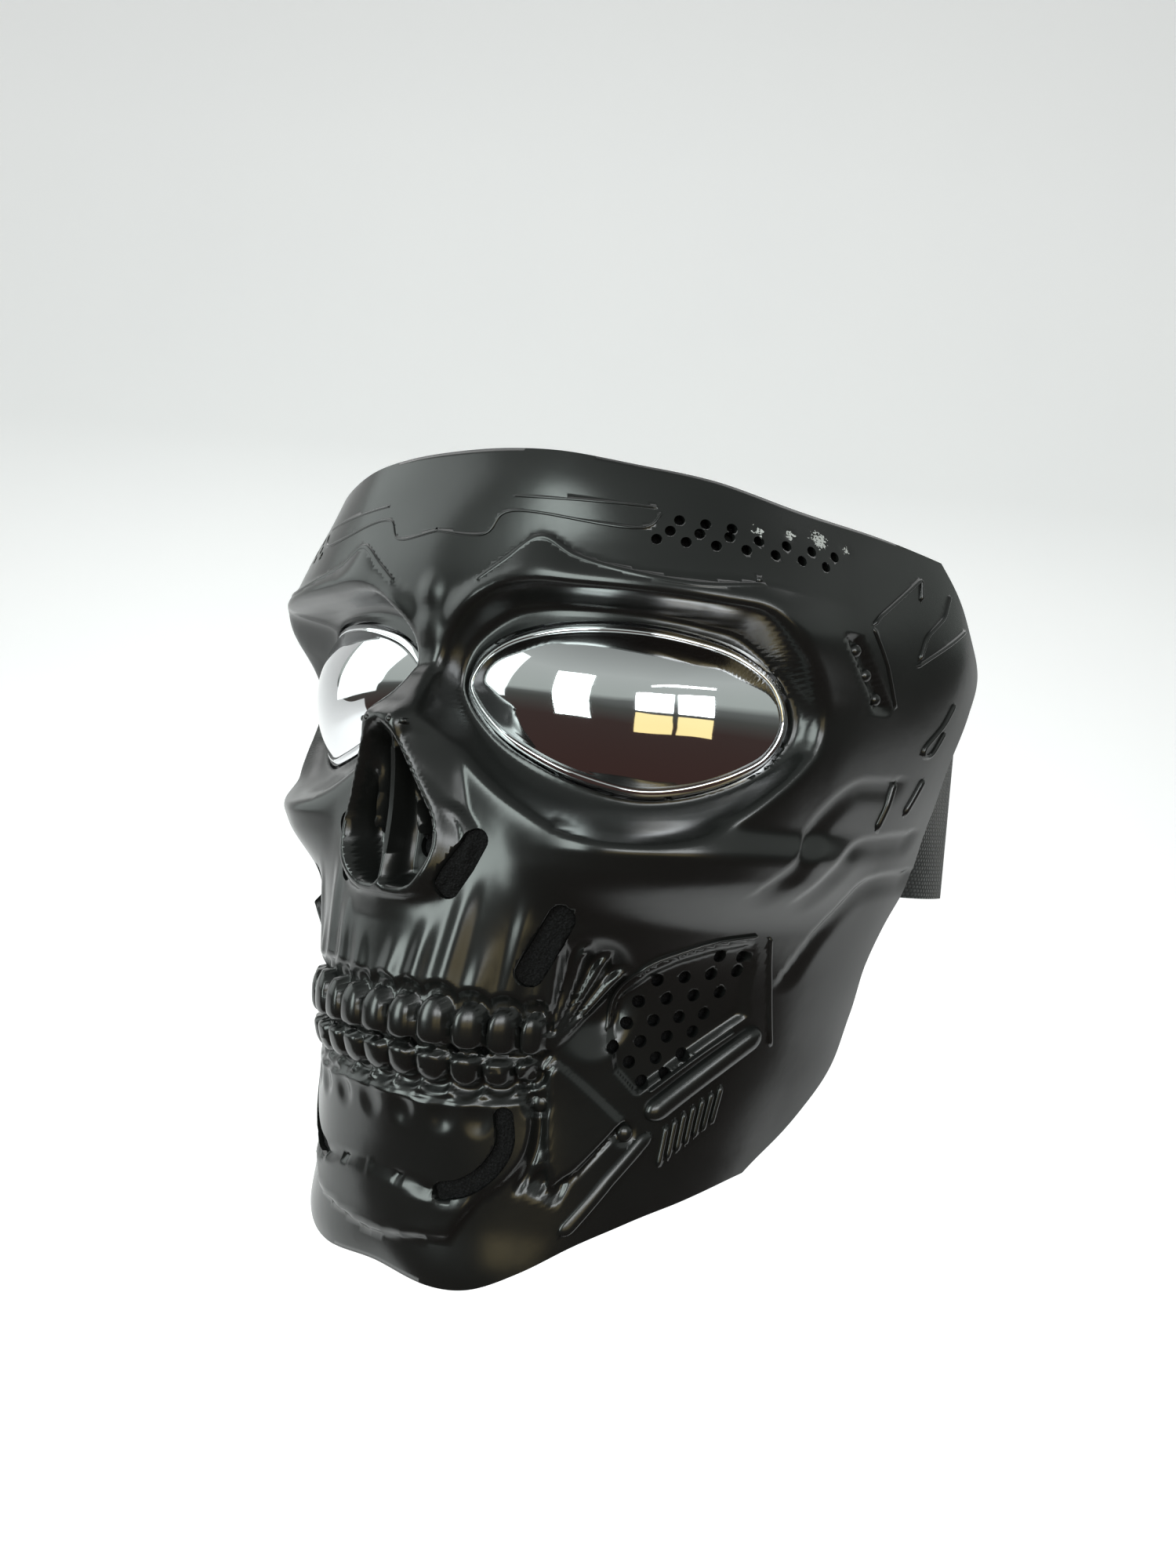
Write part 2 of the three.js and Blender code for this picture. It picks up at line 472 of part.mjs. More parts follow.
// A solid from rings of [girth, height, radius], the innermost first, each with as many points
function ringSolid(rings) {
  const count = rings[0].length;
  const points = rings.flat().map(([girth, z, radius]) => place(girth, z, radius));
  const triangles = [];
  for (let k = 0; k < rings.length - 1; k += 1) {
    for (let i = 0; i < count; i += 1) {
      const j = (i + 1) % count;
      const low = k * count;
      const high = low + count;
      triangles.push(low + i, low + j, high + j, low + i, high + j, high + i);
    }
  }
  const top = (rings.length - 1) * count;
  for (const [i, j, k] of capOf(rings[0])) {
    triangles.push(i, k, j);
  }
  for (const [i, j, k] of capOf(rings.at(-1))) {
    triangles.push(top + i, top + j, top + k);
  }
  return { points, triangles };
}

function capOf(ring) {
  const flat = ring.map(([girth, z]) => new THREE.Vector2(girth, z));
  return THREE.ShapeUtils.triangulateShape(flat, []);
}

const ringAt = (loop, radiusOf) => loop.map(([girth, z]) => [girth, z, radiusOf(girth, z)]);

// Loops drawn in true millimetres about a place, whose girth is then fitted to the radius there
function fitted([girth, z], offsets) {
  const stretch = GIRTH_RADIUS / surfaceRadius(girth, z);
  return offsets.map(([across, up]) => [girth + across * stretch, z + up]);
}

function polygon(sides, width, height = width) {
  return Array.from({ length: sides }, (_, i) => {
    const turn = 2 * Math.PI * (i + 0.5) / sides;
    return [width / 2 * Math.cos(turn), height / 2 * Math.sin(turn)];
  });
}

// Round-ended slot along a line of places
function slotLoop(line, width) {
  const path = line.map(spot);
  const stretch = GIRTH_RADIUS / surfaceRadius(...path[0]);
  const flat = path.map(([girth, z]) => new THREE.Vector2(girth / stretch, z));
  const half = width / 2;
  const side = (from, to) => new THREE.Vector2(to.y - from.y, from.x - to.x).normalize();
  const normals = flat.map((p, i) => side(flat[Math.max(0, i - 1)], flat[Math.min(flat.length - 1, i + 1)]));
  const cap = (centre, normal, turns) => turns.map((turn) => centre.clone().add(
    normal.clone().rotateAround(new THREE.Vector2(), turn).multiplyScalar(half)));
  const turns = [0.28, 0.72].map((share) => share * Math.PI);
  const right = flat.map((p, i) => p.clone().addScaledVector(normals[i], half));
  const left = flat.map((p, i) => p.clone().addScaledVector(normals[i], -half)).reverse();
  const loop = [
    ...right, ...cap(flat.at(-1), normals.at(-1), turns),
    ...left, ...cap(flat[0], normals[0].clone().negate(), turns),
  ].map((p) => [p.x * stretch, p.y]);
  return area(loop) > 0 ? loop : loop.reverse();
}

function area(loop) {
  return loop.reduce((sum, [x, y], i) => {
    const [nextX, nextY] = loop[(i + 1) % loop.length];
    return sum + (x * nextY - nextX * y) / 2;
  }, 0);
}

// A cutter through the wall along a loop, and a lump standing on the outside
function cutterAt(loop, margin) {
  const girth = loop.reduce((sum, p) => sum + p[0], 0) / loop.length;
  const z = loop.reduce((sum, p) => sum + p[1], 0) / loop.length;
  const outside = Math.max(surfaceRadius(girth, z), ...loop.map((p) => surfaceRadius(...p))) + margin;
  const inside = Math.min(innerRadius(girth, z), ...loop.map((p) => innerRadius(...p))) - margin;
  return ringSolid([ringAt(loop, () => inside), ringAt(loop, () => outside)]);
}

function pitAt(loop, depth) {
  return ringSolid([ringAt(loop, (a, b) => surfaceRadius(a, b) - depth), ringAt(loop, (a, b) => surfaceRadius(a, b) + CUT_MARGIN)]);
}

function lumpAt(loop, height, topShare) {
  const girth = loop.reduce((sum, p) => sum + p[0], 0) / loop.length;
  const z = loop.reduce((sum, p) => sum + p[1], 0) / loop.length;
  const top = loop.map((p) => [mix(girth, p[0], topShare), mix(z, p[1], topShare)]);
  return ringSolid([
    ringAt(loop, (a, b) => surfaceRadius(a, b) - SHELL_WALL / 2),
    ringAt(top, (a, b) => surfaceRadius(a, b) + height),
  ]);
}

// Shell: one grid of points for the outside and one for the inside, joined round the edge
function shellMesh() {
  const levels = ROW_LEVELS.map(heightOf);
  const outs = [...COLUMN_OUTS.slice(1).map((out) => -out).reverse(), ...COLUMN_OUTS];
  const lastOut = COLUMN_OUTS.at(-1);
  const straightLow = heightOf(-0.68);
  const straightHigh = heightOf(0.16);
  const fit = (z, turn) => {
    if (z < straightLow) {
      return mix(straightLow, lowerEdge(turn), (z - straightLow) / (levels[0] - straightLow));
    }
    if (z > straightHigh) {
      return mix(straightHigh, upperRim(turn), (z - straightHigh) / (levels.at(-1) - straightHigh));
    }
    return z;
  };
  const rows = levels.map((level) => {
    const turnEnd = rearEdge(fit(level, WIDEST_TURN));
    const edge = girthAt(rearEdge(fit(level, turnEnd)));
    return outs.map((out) => {
      const girth = out / lastOut * edge;
      return [girth, fit(level, Math.abs(degrees(girth)))];
    });
  });
  const width = outs.length;
  const size = rows.length * width;
  const flat = rows.flat();
  const points = [
    ...flat.map(([girth, z]) => place(girth, z, surfaceRadius(girth, z))),
    ...flat.map(([girth, z]) => place(girth, z, innerRadius(girth, z))),
  ];
  const triangles = [];
  for (let j = 0; j < rows.length - 1; j += 1) {
    for (let i = 0; i < width - 1; i += 1) {
      const a = j * width + i;
      const [b, c, d] = [a + 1, a + width + 1, a + width];
      const faces = i < (width - 1) / 2 ? [[a, b, d], [b, c, d]] : [[a, b, c], [a, c, d]];
      for (const [p, q, r] of faces) {
        triangles.push(p, q, r, size + p, size + r, size + q);
      }
    }
  }
  const border = [];
  for (let i = 0; i < width - 1; i += 1) {
    border.push(i);
  }
  for (let j = 0; j < rows.length - 1; j += 1) {
    border.push(j * width + width - 1);
  }
  for (let i = width - 1; i > 0; i -= 1) {
    border.push((rows.length - 1) * width + i);
  }
  for (let j = rows.length - 1; j > 0; j -= 1) {
    border.push(j * width);
  }
  border.forEach((a, i) => {
    const b = border[(i + 1) % border.length];
    triangles.push(b, a, size + a, b, size + a, size + b);
  });
  return { points, triangles };
}

// Loops of the four openings that show foam, each drawn wider by a border
const noseSlot = (border) => slotLoop(NOSE_SLOT, NOSE_SLOT_WIDTH + 2 * border);
const cheekSlot = (border) => slotLoop(CHEEK_SLOT, CHEEK_SLOT_WIDTH + 2 * border);
const chinSlot = (border) => slotLoop(CHIN_SLOT, CHIN_SLOT_WIDTH + 2 * border);
const nostril = (border) => fitted(spot(NOSTRIL), polygon(8, NOSTRIL_DIAMETER + 2 * border));

function holesInRow(row, diameter, sides) {
  return Array.from({ length: row.count }, (_, i) => {
    const share = i / (row.count - 1);
    const centre = spot({ out: mix(row.out, row.lastOut, share), level: mix(row.level, row.lastLevel, share) });
    return fitted(centre, polygon(sides, diameter));
  });
}

function finLoops() {
  return Array.from({ length: FINS.count }, (_, i) => {
    const share = i / (FINS.count - 1);
    const top = spot({ out: mix(FINS.top.out, FINS.lastTop.out, share), level: mix(FINS.top.level, FINS.lastTop.level, share) });
    const foot = [top[0] + (FINS.foot.out - FINS.top.out) * FACE_RADIUS, top[1] + heightOf(FINS.foot.level) - heightOf(FINS.top.level)];
    const half = FIN_WIDTH / 2 * GIRTH_RADIUS / surfaceRadius(...top);
    return [[foot[0] - half, foot[1]], [foot[0] + half, foot[1]], [top[0] + half, top[1]], [top[0] - half, top[1]]];
  });
}

// Half-round rod under the grille
function rodMesh() {
  const [start, end] = rodLine;
  const half = ROD_THICKNESS / 2;
  const stretch = GIRTH_RADIUS / surfaceRadius(...start);
  const along = [(end[0] - start[0]) / stretch, end[1] - start[1]];
  const size = Math.hypot(...along);
  const across = [-along[1] / size * stretch, along[0] / size];
  const sides = 6;
  const stations = 4;
  const points = [];
  for (let k = 0; k < stations; k += 1) {
    const share = k / (stations - 1);
    const centre = [mix(start[0], end[0], share), mix(start[1], end[1], share)];
    const radius = surfaceRadius(...centre);
    for (let i = 0; i < sides; i += 1) {
      const turn = 2 * Math.PI * i / sides;
      points.push(place(centre[0] + across[0] * half * Math.cos(turn), centre[1] + across[1] * half * Math.cos(turn),
        radius + half * 0.95 * Math.sin(turn) * (Math.sin(turn) < 0 ? 0.35 : 1)));
    }
  }
  return tubeMesh(points, sides, stations);
}

// Closed tube through equal rings of points
function tubeMesh(points, sides, stations) {
  const triangles = [];
  for (let k = 0; k < stations - 1; k += 1) {
    for (let i = 0; i < sides; i += 1) {
      const a = k * sides + i;
      const b = k * sides + (i + 1) % sides;
      triangles.push(a, b, b + sides, a, b + sides, a + sides);
    }
  }
  const last = (stations - 1) * sides;
  for (let i = 1; i < sides - 1; i += 1) {
    triangles.push(0, i + 1, i, last, last + i, last + i + 1);
  }
  return { points, triangles };
}

function orientedSolid(mesh) {
  const solid = solidOf(mesh);
  if (solid.volume() > 0) {
    return solid;
  }
  const turned = [];
  for (let i = 0; i < mesh.triangles.length; i += 3) {
    turned.push(mesh.triangles[i], mesh.triangles[i + 2], mesh.triangles[i + 1]);
  }
  return solidOf({ points: mesh.points, triangles: turned });
}

function maskShell() {
  const lumps = [
    ...finLoops().map((loop) => lumpAt(loop, FIN_RISE, 0.8)),
    ...RIVETS.map((rivet) => lumpAt(fitted(spot(rivet), polygon(4, RIVET_DIAMETER)), RIVET_RISE, 0.5)),
    rodMesh(),
  ];
  const holes = [
    ...VENT_ROWS.flatMap((row) => holesInRow(row, VENT_DIAMETER, 4)),
    ...GRILLE_ROWS.flatMap((row) => holesInRow(row, GRILLE_HOLE_DIAMETER, 4)),
    ...BITE_HOLES.outs.map((out) => fitted(spot({ out, level: BITE_HOLES.level }), polygon(4, BITE_HOLE_WIDTH, BITE_HOLE_HEIGHT))),
    nostril(0), noseSlot(0), cheekSlot(0), chinSlot(0),
  ];
  let shell = orientedSolid(shellMesh());
  for (const lump of lumps) {
    shell = shell.add(orientedSolid(lump)).add(orientedSolid(mirrored(lump)));
  }
  const pit = pitAt(fitted(spot(HOOK_HOLE), polygon(6, HOOK_HOLE_DIAMETER)), HOOK_HOLE_DEPTH);
  const cuts = [...holes.map((loop) => cutterAt(loop, TOOTH_RISE + CUT_MARGIN)), cutterAt(eyeLoop, EYE_CUT_MARGIN), pit];
  for (const cutter of cuts) {
    shell = shell.subtract(orientedSolid(cutter)).subtract(orientedSolid(mirrored(cutter)));
  }
  return meshDataOf(shell);
}

// Lens: a flange behind the shell, a step through its opening, and a dome
function lensMesh() {
  const flange = offsetLoop(eyeLoop, LENS_FLANGE);
  const edge = offsetLoop(eyeLoop, -LENS_EDGE_GAP);
  const middle = [0, 1].map((k) => edge.reduce((sum, p) => sum + p[k], 0) / edge.length);
  const inward = (share) => edge.map((p) => [mix(middle[0], p[0], share), mix(middle[1], p[1], share)]);
  const seat = (a, b) => Math.min(socketFloor(Math.abs(a), b) - SHELL_WALL, innerRadius(a, b)) - CLEARANCE;
  const front = (a, b) => socketFloor(a, b) - SHELL_WALL - CLEARANCE;
  const dome = (share) => ringAt(inward(share), (a, b) => front(a, b) + LENS_STEP + LENS_DOME * (1 - share ** 2));
  return ringSolid([
    ringAt(inward(0.5), (a, b) => front(a, b) - LENS_THICKNESS),
    ringAt(flange, (a, b) => seat(a, b) - LENS_THICKNESS),
    ringAt(flange, seat),
    ringAt(edge, (a, b) => Math.min(seat(a, b), front(a, b))),
    dome(1), dome(0.7), dome(0.35),
  ]);
}

// Foam: a pad behind the wall and a plug that fills the slot
function foamMesh(loopOf) {
  const wide = loopOf(FOAM_BORDER);
  const plug = loopOf(-CLEARANCE);
  const seat = (a, b) => innerRadius(a, b) - FOAM_PAD_GAP;
  const back = Math.min(...wide.map((p) => seat(...p)), ...plug.map((p) => seat(...p)));
  return ringSolid([
    ringAt(wide, () => back - FOAM_THICKNESS), ringAt(wide, () => back),
    ringAt(plug, () => back), ringAt(plug, (a, b) => surfaceRadius(a, b) - FOAM_SINK),
  ]);
}

// Backing: a foam sheet that follows the inside of the shell behind its small holes
function backingMesh({ outs, levels, columns, rows }) {
  const stepOut = (outs[1] - outs[0]) * FACE_RADIUS / columns;
  const stepUp = (heightOf(levels[1]) - heightOf(levels[0])) / rows;
  const seat = (girth, z) => {
    const around = [-0.5, 0, 0.5].flatMap((i) => [-0.5, 0, 0.5].map((j) => innerRadius(girth + i * stepOut, z + j * stepUp)));
    return Math.min(...around) - BACKING_GAP;
  };
  const front = [];
  const back = [];
  for (let j = 0; j <= rows; j += 1) {
    for (let i = 0; i <= columns; i += 1) {
      const girth = outs[0] * FACE_RADIUS + i * stepOut;
      const z = heightOf(levels[0]) + j * stepUp;
      const radius = seat(girth, z);
      front.push(place(girth, z, radius));
      back.push(place(girth, z, radius - BACKING_THICKNESS));
    }
  }
  const width = columns + 1;
  const size = front.length;
  const triangles = [];
  for (let j = 0; j < rows; j += 1) {
    for (let i = 0; i < columns; i += 1) {
      const a = j * width + i;
      triangles.push(a, a + 1, a + width + 1, a, a + width + 1, a + width);
      triangles.push(size + a, size + a + width + 1, size + a + 1, size + a, size + a + width, size + a + width + 1);
    }
  }
  const border = [];
  for (let i = 0; i < columns; i += 1) border.push(i);
  for (let j = 0; j < rows; j += 1) border.push(j * width + columns);
  for (let i = columns; i > 0; i -= 1) border.push(rows * width + i);
  for (let j = rows; j > 0; j -= 1) border.push(j * width);
  border.forEach((a, k) => {
    const b = border[(k + 1) % border.length];
    triangles.push(a, size + a, size + b, a, size + b, b);
  });
  return { points: [...front, ...back], triangles };
}

// Strap: leaves the inside of the shell on each side, folds and crosses behind the head
const strapRadiusAt = (girth, z) => innerRadius(girth, z) - STRAP_WALL_GAP;
const STRAP_ROWS = 3;
const strapHeights = Array.from({ length: STRAP_ROWS }, (_, i) => -STRAP_CENTRE_DROP + STRAP_WIDTH * (0.5 - i / (STRAP_ROWS - 1)));

function strapHalf() {
  const stations = [];
  const edgeTurn = Math.max(...strapHeights.map(rearEdge)) + STRAP_TURN_MARGIN;
  const lay = 5;
  for (let i = 0; i < lay; i += 1) {
    const girth = girthAt(mix(STRAP_END_TURN, edgeTurn, i / (lay - 1)));
    stations.push(strapHeights.map((z) => {
      const radius = strapRadiusAt(girth, z);
      return { at: place(girth, z, radius), in: place(girth, z, radius - STRAP_THICKNESS) };
    }));
  }
  const last = stations.at(-1);
  const turnX = last[1].at[0];
  const foldY = STRAP_REACH - STRAP_FOLD_RADIUS;
  const run = 3;
  for (let i = 1; i <= run; i += 1) {
    const share = i / run;
    const y = mix(last[1].at[1], foldY, share);
    const ease = rise(share, 0, 1);
    stations.push(last.map((p, k) => {
      const x = mix(mix(p.at[0], turnX + STRAP_FLARE, ease), turnX, ease * 0.2);
      return {
        at: [x, mix(p.at[1], y, share), strapHeights[k]],
        in: [x - STRAP_THICKNESS, mix(p.in[1], y, share), strapHeights[k]],
      };
    }));
  }
  const endX = stations.at(-1)[1].at[0];
  const bends = 5;
  for (let i = 1; i <= bends; i += 1) {
    const turn = i / bends * Math.PI / 2;
    const outer = STRAP_FOLD_RADIUS;
    const inner = STRAP_FOLD_RADIUS - STRAP_THICKNESS;
    const centreX = endX - STRAP_FOLD_RADIUS;
    stations.push(strapHeights.map((z) => ({
      at: [centreX + outer * Math.cos(turn), foldY + outer * Math.sin(turn), z],
      in: [centreX + inner * Math.cos(turn), foldY + inner * Math.sin(turn), z],
    })));
  }
  const crossX = endX - STRAP_FOLD_RADIUS;
  const cross = 6;
  for (let i = 1; i <= cross; i += 1) {
    const share = i / cross;
    const drop = STRAP_SAG * Math.sin(share * Math.PI / 2) ** 2;
    stations.push(strapHeights.map((z) => ({
      at: [crossX * (1 - share), STRAP_REACH, z - drop], in: [crossX * (1 - share), STRAP_REACH - STRAP_THICKNESS, z - drop],
    })));
  }
  return stations;
}

function strapMesh() {
  const half = strapHalf();
  const flip = (station) => station.map((p) => ({ at: [-p.at[0], p.at[1], p.at[2]], in: [-p.in[0], p.in[1], p.in[2]] }));
  const stations = [...half, ...half.slice(0, -1).reverse().map(flip)];
  const points = stations.flatMap((station) => [...station.map((p) => p.at), ...station.map((p) => p.in).reverse()]);
  return tubeMesh(points, 2 * STRAP_ROWS, stations.length);
}

// Anchor: a plain plate that holds the strap's end against the inside of the shell
function anchorMesh() {
  const start = girthAt(STRAP_END_TURN + STRAP_TURN_MARGIN);
  const end = start + ANCHOR_LENGTH;
  const seat = (girth, z) => strapRadiusAt(girth, z) - STRAP_THICKNESS - CLEARANCE;
  const loop = [
    ...[...strapHeights].reverse().map((z) => [end, z]), ...strapHeights.map((z) => [start, z]),
  ];
  return ringSolid([ringAt(loop, (a, b) => seat(a, b) - ANCHOR_THICKNESS), ringAt(loop, seat)]);
}

const black = { color: 0x0d0e0e, roughness: 0.22, metalness: 0.0 };
const mirror = { color: 0xd6d8da, roughness: 0.05, metalness: 1.0 };
const foam = { color: 0x161616, roughness: 0.95, metalness: 0.0 };
const elastic = { color: 0x3a3c3e, roughness: 0.9, metalness: 0.0 };
const plate = { color: 0x202122, roughness: 0.5, metalness: 0.0 };

function named(name, data, finish) {
  const mesh = new THREE.Mesh(geometryOf(data), new THREE.MeshStandardMaterial(finish));
  mesh.name = name;
  return mesh;
}

function outward(mesh) {
  return meshDataOf(orientedSolid(mesh));
}

function pair(name, mesh, finish) {
  return [named(`${name}_left`, outward(mesh), finish), named(`${name}_right`, outward(mirrored(mesh)), finish)];
}

const mask = new THREE.Group();
mask.name = 'skull_mask';
mask.add(named('mask_shell', maskShell(), black));
mask.add(...pair('lens', lensMesh(), mirror));
mask.add(...pair('foam_nose', foamMesh(noseSlot), foam));
mask.add(...pair('foam_cheek', foamMesh(cheekSlot), foam));
mask.add(...pair('foam_chin', foamMesh(chinSlot), foam));
mask.add(...pair('foam_nostril', foamMesh(nostril), foam));
mask.add(...pair('foam_brow', backingMesh(BROW_BACKING), foam));
mask.add(...pair('foam_grille', backingMesh(GRILLE_BACKING), foam));
mask.add(named('foam_mouth', outward(backingMesh(MOUTH_BACKING)), foam));
mask.add(named('strap', outward(strapMesh()), elastic));
mask.add(...pair('strap_anchor', anchorMesh(), plate));

export default mask;
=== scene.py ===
import math

import bmesh
import bpy
import numpy as np
from mathutils import Matrix, Vector


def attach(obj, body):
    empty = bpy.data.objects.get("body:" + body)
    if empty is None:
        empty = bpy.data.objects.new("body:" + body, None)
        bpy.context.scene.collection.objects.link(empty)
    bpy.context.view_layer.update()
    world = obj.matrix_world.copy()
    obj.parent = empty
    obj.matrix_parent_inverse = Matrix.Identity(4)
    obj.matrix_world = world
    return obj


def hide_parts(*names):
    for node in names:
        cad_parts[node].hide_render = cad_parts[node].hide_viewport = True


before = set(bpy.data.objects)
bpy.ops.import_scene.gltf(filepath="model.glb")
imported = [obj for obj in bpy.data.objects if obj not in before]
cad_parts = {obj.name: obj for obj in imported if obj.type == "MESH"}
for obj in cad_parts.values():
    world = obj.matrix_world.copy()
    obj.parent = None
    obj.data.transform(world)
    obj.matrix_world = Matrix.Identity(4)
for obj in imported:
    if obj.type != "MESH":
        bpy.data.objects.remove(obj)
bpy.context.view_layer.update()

# Skull mask, held up as it is worn. Lengths are in millimetres until a mesh is made from them.
# The face looks towards -Y, and a place on it is given by its girth, the way round from the
# midline, and its height above the eyes.
MM = 0.001

# Sizes of the shell
FACE_RADIUS = 100.0
EYE_TO_RIM = 60.0
EYE_TO_CHIN = 150.0
SHELL_WALL = 2.6
SOCKET_FLOOR_RADIUS = 91.0
SOCKET_BULGE_RADIUS = 70.0
BROW_RISE = 3.0
BROW_BUMP_RISE = 2.4
CHEEKBONE_RISE = 4.5
CHEEK_HOLLOW_DEPTH = 5.0
NOSE_RISE = 13.0
NOSE_DEPTH = 10.0
SEPTUM_WIDTH = 3.0
ROOT_RIDGE_RISE = 0.8
CHIN_PLATE_RISE = 1.6
CHIN_BLOCK_RISE = 3.0
JAW_PLATE_RISE = 1.6
GRILLE_RECESS = 2.0
ROD_THICKNESS = 6.6
ROD_RISE_SHARE = 0.42
TEMPLE_STRIP_RECESS = 1.2
TOOTH_RISE = 2.5
GUM_TRENCH = 1.8
FIN_WIDTH = 1.7
FIN_RISE = 1.0
RIVET_DIAMETER = 4.6
RIVET_RISE = 1.3
TEMPLE_RIVET_DIAMETER = 3.6
RIM_ROUND = 1.1
RIM_BLEND = 4.0
EYE_LEDGE = 0.7
GROOVE_EASE = 0.9
SHELL_SMOOTH_ANGLE = 76
DOME_SIDES = 20
DOME_SINK = 0.8
TEMPLE_RIVET_RISE = 1.6
SINEW_FULL_REACH = 20.0
CONCHA_RISE = 6.5
CONCHA_OUT = 6.6
CONCHA_HALF_WIDTH = 2.6

# Sizes of the openings
VENT_DIAMETER = 2.6
GRILLE_HOLE_DIAMETER = 3.4
HOOK_HOLE_DIAMETER = 4.8
HOOK_HOLE_DEPTH = 1.7
NOSTRIL_DIAMETER = 6.4
NOSE_SLOT_WIDTH = 6.0
CHEEK_SLOT_WIDTH = 7.0
CHIN_SLOT_WIDTH = 4.8

# Sizes of the pieces that the shell carries
CLEARANCE = 0.35
LENS_THICKNESS = 2.0
LENS_FLANGE = 5.0
LENS_EDGE_GAP = 0.9
LENS_DOME = 3.2
FOAM_SINK = 0.9
BACKING_THICKNESS = 3.0
BACKING_GAP = 0.5
STRAP_WALL_GAP = 0.6
STRAP_WIDTH = 48.0
STRAP_THICKNESS = 1.6
STRAP_CENTRE_DROP = 25.0
STRAP_REACH = 40.0
STRAP_FOLD_RADIUS = 7.0
STRAP_SAG = 7.0
STRAP_END_TURN = 78.0
STRAP_TURN_MARGIN = 1.5
STRAP_FLARE = 1.5
FOAM_BORDER = 2.5
FOAM_PAD_THICKNESS = 3.0
FOAM_BULGE = 0.6
BACKING_GRID = 0.8
# Rings of the lens' edge: distance in from the edge, and height against the floor of the socket
LENS_EDGE_PROFILE = [
    (0.0, -0.5), (0.10, -0.12), (0.35, 0.0), (1.30, 0.10), (1.50, 0.05), (1.70, -0.10), (1.95, -0.10),
    (2.15, 0.10), (2.7, 0.22),
]

GIRTH_RADIUS = 0.95 * FACE_RADIUS

# Radius of the shell's outside before its relief, as shares of the face radius:
# a row for each level, a column for each turn from the midline in degrees
TURNS = [0, 12, 24, 38, 52, 66, 80, 95, 110]
RADII = {
    -1.067: [0.86, 0.88, 0.86, 0.76, 0.68, 0.63, 0.60, 0.60, 0.60],
    -1.000: [0.90, 0.91, 0.88, 0.79, 0.71, 0.66, 0.63, 0.63, 0.63],
    -0.900: [0.92, 0.91, 0.87, 0.80, 0.73, 0.69, 0.67, 0.68, 0.69],
    -0.787: [0.93, 0.92, 0.87, 0.79, 0.73, 0.70, 0.70, 0.73, 0.75],
    -0.687: [0.96, 0.94, 0.87, 0.78, 0.73, 0.72, 0.73, 0.77, 0.80],
    -0.587: [1.01, 0.98, 0.89, 0.78, 0.74, 0.74, 0.76, 0.80, 0.84],
    -0.467: [0.99, 0.97, 0.91, 0.83, 0.79, 0.79, 0.81, 0.85, 0.89],
    -0.347: [0.97, 0.95, 0.93, 0.91, 0.89, 0.87, 0.87, 0.90, 0.94],
    -0.233: [0.94, 0.93, 0.95, 0.98, 0.98, 0.94, 0.92, 0.94, 0.99],
    -0.120: [0.92, 0.92, 0.95, 1.00, 1.02, 0.99, 0.97, 0.99, 1.04],
    0.000: [0.89, 0.90, 0.94, 1.00, 1.03, 1.01, 1.00, 1.03, 1.08],
    0.300: [0.90, 0.91, 0.95, 1.02, 1.06, 1.03, 1.01, 1.05, 1.08],
    0.583: [0.90, 0.90, 0.92, 0.97, 1.01, 1.00, 1.00, 1.03, 1.05],
    0.833: [0.87, 0.88, 0.90, 0.92, 0.93, 0.94, 0.97, 1.00, 1.01],
    1.100: [0.83, 0.84, 0.86, 0.86, 0.86, 0.88, 0.93, 0.97, 0.97],
}
LOWER_EDGE = [
    (0, -1.005), (19, -1.003), (26, -0.970), (34, -0.930), (44, -0.897), (56, -0.873), (70, -0.847),
    (78, -0.835),
]
UPPER_RIM = [
    (0, 0.975), (20, 0.950), (34, 0.893), (46, 0.850), (58, 0.775), (72, 0.733), (88, 0.700),
    (100, 0.690),
]
REAR_EDGE = [
    (-0.840, 74), (-0.787, 83), (-0.720, 90), (-0.650, 95), (-0.553, 96), (-0.453, 94.5), (-0.373, 96),
    (-0.300, 99.5), (-0.180, 99), (-0.070, 98.5), (0.070, 100.5), (0.250, 101.5), (0.400, 97.5),
    (0.560, 93.5), (0.700, 88),
]
# Outlines on one half of the face: share of the face radius round from the midline, and level
EYE = [
    (0.080, -0.013), (0.190, -0.087), (0.360, -0.140), (0.500, -0.167), (0.640, -0.180), (0.770, -0.167),
    (0.900, -0.133), (0.970, -0.100), (1.010, -0.040), (0.975, 0.075), (0.875, 0.190), (0.720, 0.252),
    (0.540, 0.272), (0.350, 0.250), (0.190, 0.180), (0.105, 0.080),
]
SOCKET = [
    (0.060, -0.027), (0.100, -0.080), (0.170, -0.133), (0.300, -0.193), (0.440, -0.230), (0.580, -0.242),
    (0.720, -0.230), (0.830, -0.203), (0.950, -0.140), (1.045, -0.060), (1.030, 0.000), (0.950, 0.160),
    (0.865, 0.305), (0.780, 0.325), (0.600, 0.355), (0.460, 0.372), (0.320, 0.385), (0.230, 0.365),
    (0.140, 0.285), (0.080, 0.190), (0.055, 0.080),
]
NOSE = [
    (-0.010, -0.345), (0.050, -0.358), (0.095, -0.348), (0.128, -0.320), (0.148, -0.285),
    (0.143, -0.243), (0.115, -0.203), (0.083, -0.160), (0.045, -0.110), (-0.010, -0.083),
]
NOSE_PLATE = [
    (-0.010, 0.050), (0.030, 0.033), (0.100, -0.033), (0.110, -0.053), (0.075, -0.073), (0.065, -0.107),
    (0.100, -0.160), (0.150, -0.203), (0.200, -0.220), (0.240, -0.247), (0.245, -0.275), (0.200, -0.330),
    (0.140, -0.365), (0.080, -0.375), (-0.010, -0.375),
]
